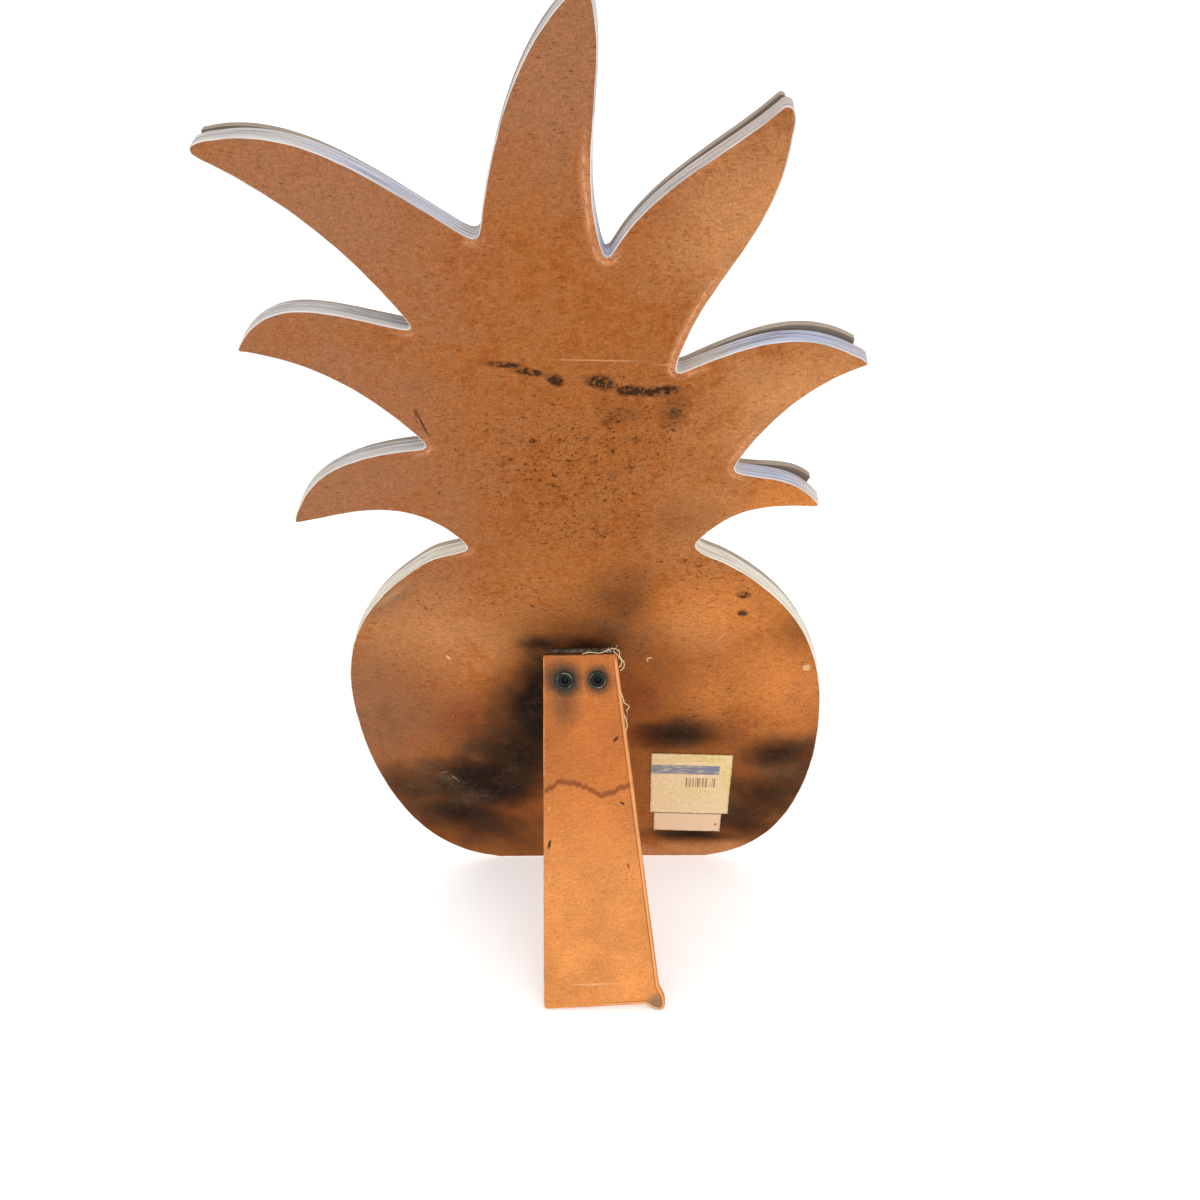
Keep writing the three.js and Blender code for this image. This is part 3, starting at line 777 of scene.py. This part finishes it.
frontLoop = smoothLoop(outlineAt("front_panel", panel, frontBack - plates["arris"]), carvedFront["spacing"])
creasePoints, creasePairs = creasesOf("front_panel", panel, frontLoop)
frontInner = facePoints(frontLoop, carvedFront)
creaseTree = treeOf(alongEdges(creasePoints, creasePairs, carvedFront["creaseStep"]))
clearOfCreases = farFrom(creaseTree, frontInner) > carvedFront["creaseClear"]
frontInner = np.concatenate([creasePoints, frontInner[clearOfCreases]])
print("front panel:", len(creasePairs), "creases")
frontPaint = paintedFront()
frontPanel = makePlate(
    "frontPanel", frontLoop, panel,
    (
        (frontFace, frontInner, creasePairs, depthOn("front_panel", panel, frontFace - 2)),
        (frontBack, np.empty((0, 2)), (), None),
    ),
    carvedFront, (frontPaint, frontPaint, frontPaint),
)
finished(frontPanel, "panel", "front", "front_panel")


# The easel leg, with its rivet holes
easelLeg = {
    "spacing": 0.9, "insets": [0.6, 1.4, 2.4], "lattice": 2.2, "wallRows": 4,
    "arris": [0.32, 0.2, 31], "wall": [0.07, 32],
    "holeSpacing": 13.9, "holeDrop": 11.1, "holeRadius": 2.35, "holeSides": 20,
    "side": (234, 164, 106), "edge": (244, 176, 116), "upper": (188, 109, 50), "lower": (218, 140, 74),
    "tide": (120, 60, 28), "wet": (210, 126, 62),
    "halo": (58, 53, 40), "pale": (250, 208, 160), "dark": (72, 42, 24), "crushed": (112, 98, 86),
    "waterline": [(-18, -60.0), (-13, -59.2), (-9.6, -55.4), (1.6, -58.2), (8.5, -62.2), (18.7, -58.3)],
    "nicks": [
        (15.4, -37.1, 0.9, 2.4, 132, 0.7, 1.0), (17.2, -65.7, 0.7, 1.8, 60, 0.6, 1.0),
        (-15.0, -84.3, 0.9, 2.8, -15, 0.6, 1.0), (19, -94.3, 0.6, 1.4, 20, 0.6, 0.8),
    ],
    "chips": [
        (-14.4, -68, 0.7, 1.4, 0, 0.6, 0.3), (-15.6, -100, 0.6, 2.2, 0, 0.6, 0.25),
        (2, -150, 14, 0.5, 2, 0.6, 0.4),
    ],
    "corner": [(29, -159, 7, 6, 20, 0.9, 1.0)],
}

legOuter = plates["legInner"] + plates["legThickness"]
legLoop = smoothLoop(outlineAt("easel_leg", leg, legOuter), easelLeg["spacing"])
legPoints = facePoints(legLoop, easelLeg)


def legCentre(drop):      # halfway between the leg's long sides
    near = legLoop[np.abs(legLoop[:, 1] + drop) < 1.2, 0]
    return (near.min() + near.max()) / 2


rivetPlaces = [
    np.array((legCentre(easelLeg["holeDrop"]) + side * easelLeg["holeSpacing"] / 2, -easelLeg["holeDrop"]))
    for side in (-1, 1)
]
rivetHoles = [(place, easelLeg["holeRadius"], easelLeg["holeSides"]) for place in rivetPlaces]
def legFinishes():
    paint = Paint("leg face", leg, easelLeg)
    broad = paint.noise(0.05, 4, 0.6)
    fine = paint.noise(0.85, 5, 0.74, shift=5)
    grain = paint.noise(2.3, 3, 0.7, (1, 0.5, 1), 15)
    dashes = paint.noise(0.9, 3, 0.68, (0.4, 1.5, 1), 35)
    uneven = (broad - 0.5) * 1.2
    paint.colour = paint.mix(paint.between(paint.v + uneven * 30, -40, -110), "upper", "lower")
    ripple = paint.noise(0.2, 4, 0.65, (1, 0, 0), 70)
    below = easelLeg["waterline"][0][1] - paint.v + (ripple - 0.5) * 7 + (fine - 0.5) * 1.6
    slope = 0.0
    for (u, v), (nextU, nextV) in zip(easelLeg["waterline"], easelLeg["waterline"][1:]):
        turn = (nextV - v) / (nextU - u) - slope
        below = below + (paint.u - u).most(0.0) * turn
        slope += turn
    wet = paint.between(below, -0.2, 0.3) * paint.between(below, 14, 1)
    paint.lay(wet * 0.35, "wet")
    paint.lay(paint.between(abs(below) - (fine - 0.5) * 2, 2.0, 0.5) * 0.75, "tide")
    patches = 1.0 + 1.0 * (fine - 0.5) + 0.5 * (grain - 0.5) + 0.9 * (broad - 0.5) + 0.6 * (dashes - 0.5)
    paint.lighten(patches)
    smoky = (broad - 0.5) * 0.5 + (fine - 0.5) * 0.25
    halos = [(*rivetPlaces[0], 12.5, 11.5, 0, 0.72, 1.0), (*rivetPlaces[1], 9.5, 9.5, 0, 0.68, 1.0),
             (-6, -21, 10, 15, 0, 0.95, 0.5)]
    paint.lay(paint.blots(halos, smoky), "halo")
    bend = paint.vector((fine - 0.5) * 2.0, (grain - 0.5) * 2.0, 0.0)
    paint.lay(paint.flecks(0.4, 0.16, 0.4, bend) * 0.55, "tide")
    smudges = paint.between(paint.swing(0.22, 4, 0.72, shift=25), 0.45, 1.1)
    paint.lay(smudges * 0.35, "tide")
    paint.lay(paint.blots(easelLeg["nicks"], (fine - 0.5) * 1.2), "dark")
    paint.lay(paint.blots(easelLeg["chips"], (fine - 0.5) * 0.9), "pale")
    crushed = paint.blots(easelLeg["corner"], smoky * 2) * (0.4 + 0.6 * fine)
    paint.lay(crushed, "crushed")
    rim = paint.mark("rim")
    toRight = paint.between(paint.u, 4, 8) * paint.between(paint.v, -1.5, -4)
    scored = paint.between(abs(rim - 1.5 + (broad - 0.5) * 0.6), 0.4, 0.1) * toRight
    paint.lay(scored * paint.between(fine + dashes, 0.8, 1.05) * 0.7, "tide")
    lit = paint.between(rim + (fine - 0.5) * 0.5, 1.4, 1.0) * toRight
    paint.lay(lit * 0.6, "edge")
    worn = paint.between(rim + (fine - 0.5) * 1.1, 0.5, 0.15)
    paint.lay(worn * 0.35 * paint.between(paint.v, -1.2, -2.5), "side")
    face = paint.done(0.66, fine * 0.5 + grain * 0.4, 0.12, {"Specular IOR Level": 0.2})

    paint = Paint("leg side", leg, easelLeg)
    fine = paint.noise(0.7, 4, 0.7)
    threads = paint.noise(1.0, 2, 0.6, (0.05, 0.05, 1.4))
    paint.colour = paint.mix(paint.between(threads + (fine - 0.5) * 0.4, 0.4, 0.62), "side", "upper")
    line = paint.between(abs(threads + (fine - 0.5) * 0.2 - 0.47), 0.05, 0.01)
    paint.lay(line * paint.between(paint.v, -50, -110) * 0.7, "dark")
    # painted shade on the leg's top end face
    shadedEnd = paint.between(paint.v + (fine - 0.5) * 0.8, -1.4, -0.9)
    paint.lay(shadedEnd * 0.92, "dark")
    paint.lay(paint.blots(easelLeg["corner"]) * 0.7, "crushed")
    side = paint.done(0.8, fine * 0.6 + threads * 0.5, 0.2, {"Specular IOR Level": 0.15})
    return face, side


legFace, legSide = legFinishes()


cutLeg = makePlate(
    "cutLeg", legLoop, leg,
    ((legOuter, legPoints, (), None), (plates["legInner"], legPoints, (), None)),
    easelLeg, (legFace, legSide, legFace), rivetHoles,
)
finished(cutLeg, "leg", "leg", "easel_leg")


# The paper ticket
ticket = {
    "spacing": 0.5, "insets": [0.4, 1.2], "lattice": 1.6, "wallRows": 2,
    "arris": [0.06, 0, 0], "wall": [0, 0], "tornDepth": 0.25, "tornSeed": 41,
    "middle": (46.2, 59.6), "height": 45.5,
    "paper": (232, 202, 155), "yellow": (218, 194, 114), "strip": (230, 196, 164), "pale": (250, 234, 210),
    "band": (98, 112, 140), "ink": (104, 84, 70), "faint": (176, 150, 114), "red": (176, 64, 48),
    "shadow": (92, 70, 50),
}


def ticketPaper():
    turned = math.radians(plates["ticketTurn"])
    up = panel.up * math.cos(turned) + panel.across * math.sin(turned)
    sheet = Plane(panel.point(*ticket["middle"]), up, panel.out)
    paint = Paint("ticket paper", sheet, ticket)
    u, v = paint.u, paint.v
    top = ticket["height"] / 2
    broad = paint.noise(0.09, 4, 0.6)
    fine = paint.noise(1.2, 4, 0.7)
    mottle = paint.noise(0.5, 4, 0.65, shift=12)
    yellow = [(4, top - 2, 20, 7, 0, 0.9, 0.85), (17, 4, 5, 20, 0, 0.9, 0.7), (0, -4, 20, 8, 0, 0.9, 0.35),
              (-12, top - 5, 10, 5, 0, 0.9, 0.4)]
    paint.colour = paint.mix(paint.blots(yellow, (broad - 0.5) * 1.2), "paper", "yellow")
    paint.lay(paint.between(mottle, 0.5, 0.72) * 0.5, "pale")
    soiled = paint.between(paint.noise(0.7, 4, 0.7, (0.6, 1.4, 1), 81), 0.54, 0.72)
    paint.lay(soiled * 0.4, "faint")
    onBand = paint.between(v, 7.6, 8.0) * paint.between(v, 14.6, 14.2) * paint.between(u, 13.6, 12.8)
    faded = paint.between(paint.noise(0.5, 4, 0.7, (0.35, 2.4, 1), 33), 0.66, 0.46)
    paint.lay(onBand * (0.35 + 0.55 * faded), "band")
    barWidth = paint.noise(1.0, 1, 0.4, (1.3, 0, 0), 4)
    onBars = paint.between(abs(u - 5.0), 7.6, 7.2) * paint.between(abs(v - 1.6), 3.8, 3.2)
    paint.lay(paint.between(barWidth, 0.48, 0.53) * onBars * 0.75, "ink")
    strokes = paint.between(paint.noise(1.0, 2, 0.6, (0.9, 1.6, 1), 52), 0.55, 0.66)
    rows = [(-14, 3.4, 4, 0.9, 0, 0.5, 0.5), (-13.5, -0.6, 4, 0.9, 0, 0.5, 0.45),
            (4, -5.6, 8, 0.9, 0, 0.5, 0.5), (-2, -13.8, 16, 0.8, 0, 0.5, 0.45),
            (12, top - 3.2, 5, 0.8, 0, 0.5, 0.6), (4, 17.6, 9, 0.6, 0, 0.5, 0.3)]
    paint.lay(paint.blots(rows) * strokes, "ink")
    paint.lay(paint.between(v, -top + 0.4, -top - 0.4) * 0.85, "strip")
    # a painted shadow along the tear line between the sheet and its strip
    tearShadow = paint.between(abs(v + top + (mottle - 0.5) * 1.6), 0.7, 0.2)
    paint.lay(tearShadow * 0.75, "shadow")
    redSpot = paint.blot(13.4, -top - 8.6, 1.0, 1.3, 0, 0.6, (fine - 0.5))
    paint.lay(redSpot * 0.85, "red")
    rim = paint.mark("rim")
    paint.lay(paint.between(rim + (mottle - 0.5) * 1.4, 0.8, 0.2) * 0.45, "faint")
    paint.lighten(0.9 + 0.18 * fine)
    return paint.done(0.72, fine * 0.3 + mottle * 0.8, 0.08, {"Specular IOR Level": 0.25})


paper = ticketPaper()
ticketTop = plates["ticketGap"] + plates["ticketThickness"]
ticketLoop = outlineAt("ticket", panel, ticketTop)
ticketLoop = smoothLoop(ticketLoop, ticket["spacing"], cornerTurn=20, straightOver=8)
torn = wander(np.arange(len(ticketLoop)) * ticket["spacing"], ticket["tornSeed"], (0.2, 0.9, 2.1, 4.3))
torn = ticket["tornDepth"] + ticket["tornDepth"] * torn
tornEdge = ticketLoop - outwardOf(ticketLoop) * torn[:, None]
ticketPoints = facePoints(tornEdge, ticket)
paperTicket = makePlate(
    "paperTicket", tornEdge, panel,
    ((ticketTop, ticketPoints, (), None), (plates["ticketGap"], ticketPoints, (), None)),
    ticket, (paper, paper, paper),
)
finished(paperTicket, "panel", "ticket", "ticket")


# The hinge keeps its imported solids, in old steel
hinge = {"worn": (116, 100, 80), "dull": (58, 50, 42), "rust": (74, 52, 36), "rough": 0.45, "metallic": 0.4}


def oldSteel():
    paint = Paint("hinge steel", leg, hinge)
    broad = paint.noise(0.35, 4, 0.6)
    fine = paint.noise(2.2, 4, 0.7)
    paint.colour = paint.mix(paint.between(broad, 0.35, 0.65), "worn", "dull")
    paint.lay(paint.between(fine + (broad - 0.5) * 0.6, 0.55, 0.72) * 0.7, "rust")
    return paint.done(hinge["rough"] + 0.3 * fine, fine, 0.05, {"Metallic": hinge["metallic"]})


steel = oldSteel()
for name in ("hinge_board_leaf", "hinge_leg_leaf", "hinge_pin"):
    nodes[name].data.materials.clear()
    nodes[name].data.materials.append(steel)


# A Geometry Nodes tree with named sizes, which works in a plane's millimetres
class Growth(Graph):
    def __init__(self, name, sizes):
        super().__init__(bpy.data.node_groups.new(name, "GeometryNodeTree"))
        face = self.tree.interface
        face.new_socket("Geometry", in_out="INPUT", socket_type="NodeSocketGeometry")
        for label, value in sizes.items():
            kind = "NodeSocketInt" if isinstance(value, int) else "NodeSocketFloat"
            face.new_socket(label, in_out="INPUT", socket_type=kind)
        face.new_socket("Geometry", in_out="OUTPUT", socket_type="NodeSocketGeometry")
        self.sizes = sizes
        self.inlet = self.tree.nodes.new("NodeGroupInput")

    def given(self, label):
        return Wire(self, self.inlet.outputs[label])

    def join(self, *parts):
        joined = self.tree.nodes.new("GeometryNodeJoinGeometry")
        for part in parts:
            self.tree.links.new(part.socket, joined.inputs[0])
        return Wire(self, joined.outputs[0])

    def moved(self, geometry, place, scale=(1, 1, 1)):
        inputs = {"Geometry": geometry, "Translation": place, "Scale": scale}
        return self.node("GeometryNodeTransform", None, inputs)

    def circle(self, radius, sides):
        inputs = {"Resolution": sides, "Radius": radius}
        return self.node("GeometryNodeCurvePrimitiveCircle", None, inputs)

    def sweep(self, path, section):
        inputs = {"Curve": path, "Profile Curve": section, "Fill Caps": True}
        return self.node("GeometryNodeCurveToMesh", None, inputs)

    def grow(self, name, points, edges, plane, geometry, material):
        geometry = self.node("GeometryNodeRealizeInstances", None, {"Geometry": geometry})
        geometry = self.node("GeometryNodeSetMaterial", None, {"Geometry": geometry, "Material": material})
        outlet = self.tree.nodes.new("NodeGroupOutput")
        self.tree.links.new(geometry.socket, outlet.inputs[0])
        seedMesh = bpy.data.meshes.new(name + "Points")
        seedMesh.from_pydata(points, edges, [])
        piece = placed(seedMesh, name)
        modifier = piece.modifiers.new(name, "NODES")
        modifier.node_group = self.tree
        for item in self.tree.interface.items_tree:
            if item.item_type == "SOCKET" and item.in_out == "INPUT" and item.name in self.sizes:
                modifier[item.identifier] = self.sizes[item.name]
        seen = piece.evaluated_get(bpy.context.evaluated_depsgraph_get())
        mesh = bpy.data.meshes.new_from_object(seen)
        piece.modifiers.clear()
        mesh.transform(plane.matrix())
        piece.data = closeUp(mesh, 1e-7)
        return piece


# The rivets are blackened, with a pale ring on their rolled rims that is partly bare metal and partly a
# painted highlight
rivets = {
    # the pale rim tone is partly a painted highlight, and the bore tone a painted shade
    "black": (58, 58, 50), "deep": (30, 31, 30), "bareAndHighlight": (146, 138, 116), "bore": (26, 29, 28),
    "ringSides": 40, "rollSides": 12, "cupSides": 32, "dishThickness": 0.3, "cupThickness": 0.4,
    "dishRise": 0.2, "tubeRise": 0.3,      # from the leg's face to the dish, and to the tube's rim
    "sizes": {
        "Head radius": 3.85, "Bore": 1.5, "Tube wall": 0.55, "Head height": 0.85, "Rim width": 1.1,
        "Tube length": 4.2, "Flange radius": 3.0, "Flange thickness": 0.3, "Cup depth": 0.7,
    },
}


def rivetFinish():
    paint = Paint("blackened rivet", leg, rivets)
    far = None
    for place in rivetPlaces:
        here = paint.vectorMath("DISTANCE", paint.face, (*place, 0), output=1)
        far = here if far is None else far.least(here)
    fine = paint.noise(1.1, 4, 0.7)
    paint.colour = paint.mix(paint.between(fine, 0.35, 0.65), "black", "deep")
    # the pale ring on the rolled rim: partly bare metal, partly a painted highlight
    ring = paint.between(abs(far - 3.2), 0.34, 0.12)
    ring = ring * paint.between(paint.noise(0.3, 3, 0.6, shift=6), 0.42, 0.6)
    paint.lay(ring * 0.75, "bareAndHighlight")
    # painted shade inside the rivet's hollow, within 2.75 mm of its centre
    paint.lay(paint.between(far, 2.75, 2.4), "bore")
    return paint.done(0.38 + 0.3 * fine, fine, 0.1, {"Metallic": 0.5})


def makeRivets():
    tree = Growth("tubular rivet", rivets["sizes"])
    bore, wall = tree.given("Bore"), tree.given("Tube wall")
    height = tree.given("Head height")
    tubeTop = legOuter + rivets["tubeRise"]

    def band(radius, width, tall):      # a flat ring with a square section
        section = {"Width": width, "Height": tall}
        section = tree.node("GeometryNodeCurvePrimitiveQuadrilateral", None, section)
        return tree.sweep(tree.circle(radius, rivets["ringSides"]), section)

    def raised(part, height):
        return tree.moved(part, tree.vector(0.0, 0.0, height))

    roll = tree.given("Rim width") / 2
    rolled = tree.circle(tree.given("Head radius") - roll, rivets["ringSides"])
    head = tree.sweep(rolled, tree.circle(roll, rivets["rollSides"]))
    flat = tree.vector(1.0, 1.0, height / (2 * roll))
    head = tree.moved(head, tree.vector(0.0, 0.0, legOuter + height / 2), flat)
    width = tree.given("Head radius") - 2 * roll - bore + 0.2
    dish = raised(band(bore + width / 2, width, rivets["dishThickness"]), legOuter + rivets["dishRise"])
    cup = {"Vertices": rivets["cupSides"], "Radius": bore + wall / 2, "Depth": rivets["cupThickness"]}
    cup = raised(tree.node("GeometryNodeMeshCylinder", None, cup), legOuter - tree.given("Cup depth"))
    tube = band(bore + wall / 2, wall, tree.given("Tube length"))
    tube = raised(tube, tubeTop - tree.given("Tube length") / 2)
    reach = tree.given("Flange radius") - bore
    flange = band(bore + reach / 2, reach, tree.given("Flange thickness"))
    low = tubeTop - tree.given("Tube length") + tree.given("Flange thickness") / 2
    flange = raised(flange, low)
    shapes = {"Points": tree.given("Geometry"), "Instance": tree.join(head, dish, cup, tube, flange)}
    rivet = tree.node("GeometryNodeInstanceOnPoints", None, shapes)
    points = [(*place, 0.0) for place in rivetPlaces]
    return tree.grow("tubularRivets", points, [], leg, rivet, rivetFinish())


finished(makeRivets(), "leg", "rivet", "rivet_left", "rivet_right")


# The frayed threads at the leg's top right, each with little tufts. A path is across and up on the
# leg, and out of its face.
threads = {
    "bright": (255, 240, 214), "dull": (226, 186, 134), "sides": 5, "tuftSides": 4, "pathSteps": 6,
    "sizes": {"Thread radius": 0.16, "Tuft radius": 0.09, "Tuft length": 1.7, "Share": 0.3, "Seed": 7},
    "paths": [
        [(2.5, 0.3, 0.2), (6, 0.9, 0.6), (9.5, 0.5, 0.3), (12.5, 1.4, 0.7), (14.6, 2.4, 0.9),
         (16.6, 2.3, 0.9), (18.1, 0.9, 0.8), (18.2, -1.0, 0.8), (19.9, -3.9, 0.9), (19.5, -6.1, 0.7),
         (18.0, -7.2, 0.5)],
        [(15.5, 1.2, 0.4), (17.4, -0.6, 0.6), (18.9, -3.4, 0.6), (17.7, -5.8, 0.4)],
        [(17.9, -16, 0.1), (19.0, -19, 0.5), (19.4, -21, 0.7), (21.4, -22.6, 0.9), (20.2, -24.5, 0.6)],
        [(19.0, -26, 0.1), (19.9, -28.4, 0.6), (20.4, -31, 0.7), (19.6, -33.5, 0.3)],
    ],
}


def makeThreads():
    paint = Paint("frayed thread", leg, threads)
    paint.colour = paint.mix(paint.noise(1.4, 3, 0.6), "bright", "dull")
    strand = paint.done(0.85)
    tree = Growth("frayed threads", threads["sizes"])
    points, edges = [], []
    for path in threads["paths"]:
        smooth = catmullRom([(u, v, legOuter + w) for u, v, w in path], threads["pathSteps"])
        edges += [(len(points) + i, len(points) + i + 1) for i in range(len(smooth) - 1)]
        points += smooth
    seeds = tree.given("Geometry")
    curve = tree.node("GeometryNodeMeshToCurve", None, {"Mesh": seeds})
    strands = tree.sweep(curve, tree.circle(tree.given("Thread radius"), threads["sides"]))
    size = tree.given("Tuft length")
    bent = {
        "Resolution": 5, "Start": (0, 0, 0),
        "Start Handle": tree.vector(0.0, size * 0.3, size * 0.15),
        "End Handle": tree.vector(size * 0.3, size * 0.7, size * 0.3),
        "End": tree.vector(size * 0.5, size, 0.0),
    }
    hair = tree.node("GeometryNodeCurvePrimitiveBezierSegment", None, bent)
    hair = tree.sweep(hair, tree.circle(tree.given("Tuft radius"), threads["tuftSides"]))
    drawn = {"data_type": "FLOAT_VECTOR"}
    turn = tree.node("FunctionNodeRandomValue", drawn, {0: (-0.5, -0.5, -2.8), 1: (0.5, 0.5, 0.4),
                                                        "Seed": tree.given("Seed")})
    grown = tree.node("FunctionNodeRandomValue", drawn, {0: (0.3, 0.3, 0.3), 1: (1.0, 1.0, 1.0),
                                                         "Seed": tree.given("Seed") + 3})
    chosen = tree.node("FunctionNodeRandomValue", {"data_type": "BOOLEAN"},
                       {"Probability": tree.given("Share"), "Seed": tree.given("Seed") + 9}, 3)
    tufts = {"Points": seeds, "Selection": chosen, "Instance": hair, "Rotation": turn, "Scale": grown}
    tufts = tree.node("GeometryNodeInstanceOnPoints", None, tufts)
    return tree.grow("frayedThreads", points, edges, leg, tree.join(strands, tufts), strand)


finished(makeThreads(), "leg", "leg")


# Floor, light and camera
stage = {
    "floorReach": 6.0, "floorTone": (248, 248, 248), "floorRoughness": 0.9, "floorGlow": 0.3, "sky": 1.0,
    "keyPlace": (-1.1, 1.5, 1.7), "keyAim": (0, 0, 0.2), "keyPower": 9.0, "keySize": 1.6,
}

floorMesh = bpy.data.meshes.new("floor")
reach = stage["floorReach"]
corners = [(-reach, -reach, 0), (reach, -reach, 0), (reach, reach, 0), (-reach, reach, 0)]
floorMesh.from_pydata(corners, [], [(0, 1, 2, 3)])
floorPaint = bpy.data.materials.new("pale floor")
floorPaint.use_nodes = True
floorValues = {
    "Base Color": tone(*stage["floorTone"]), "Roughness": stage["floorRoughness"],
    "Emission Color": (1, 1, 1, 1), "Emission Strength": stage["floorGlow"],
}
for key, value in floorValues.items():
    floorPaint.node_tree.nodes["Principled BSDF"].inputs[key].default_value = value
floorMesh.materials.append(floorPaint)
placed(floorMesh, "floor")

sky = bpy.data.worlds.new("pale studio")
sky.use_nodes = True
skyShader = sky.node_tree.nodes["Background"]
skyShader.inputs["Color"].default_value = (1, 1, 1, 1)
skyShader.inputs["Strength"].default_value = stage["sky"]
bpy.context.scene.world = sky
bpy.context.scene.view_settings.view_transform = "Standard"

lamp = bpy.data.lights.new("key", "AREA")
lamp.size = stage["keySize"]
lamp.energy = stage["keyPower"]
key = bpy.data.objects.new("key", lamp)
key.location = stage["keyPlace"]
aim = Vector(stage["keyAim"]) - Vector(stage["keyPlace"])
key.rotation_euler = aim.to_track_quat("-Z", "Y").to_euler()
bpy.context.scene.collection.objects.link(key)

# The photograph looks down on the ornament's back
view = {
    "place": (-0.04566, 0.4002, 0.44136),
    "look": (0.07484, -0.83790, -0.54067),
    "up": (-0.02012, -0.54335, 0.83927),
    "lens": 36,
    "sensor": 36,
}
lens = bpy.data.cameras.new("view")
lens.lens = view["lens"]
lens.sensor_width = view["sensor"]
lens.clip_start = 0.01
camera = bpy.data.objects.new("view", lens)
look, up = Vector(view["look"]).normalized(), Vector(view["up"]).normalized()
right = look.cross(up).normalized()
turn = Matrix((right, right.cross(look), -look)).transposed()
camera.matrix_world = Matrix.Translation(view["place"]) @ turn.to_4x4()
bpy.context.scene.collection.objects.link(camera)
bpy.context.scene.camera = camera
print("stage ready")
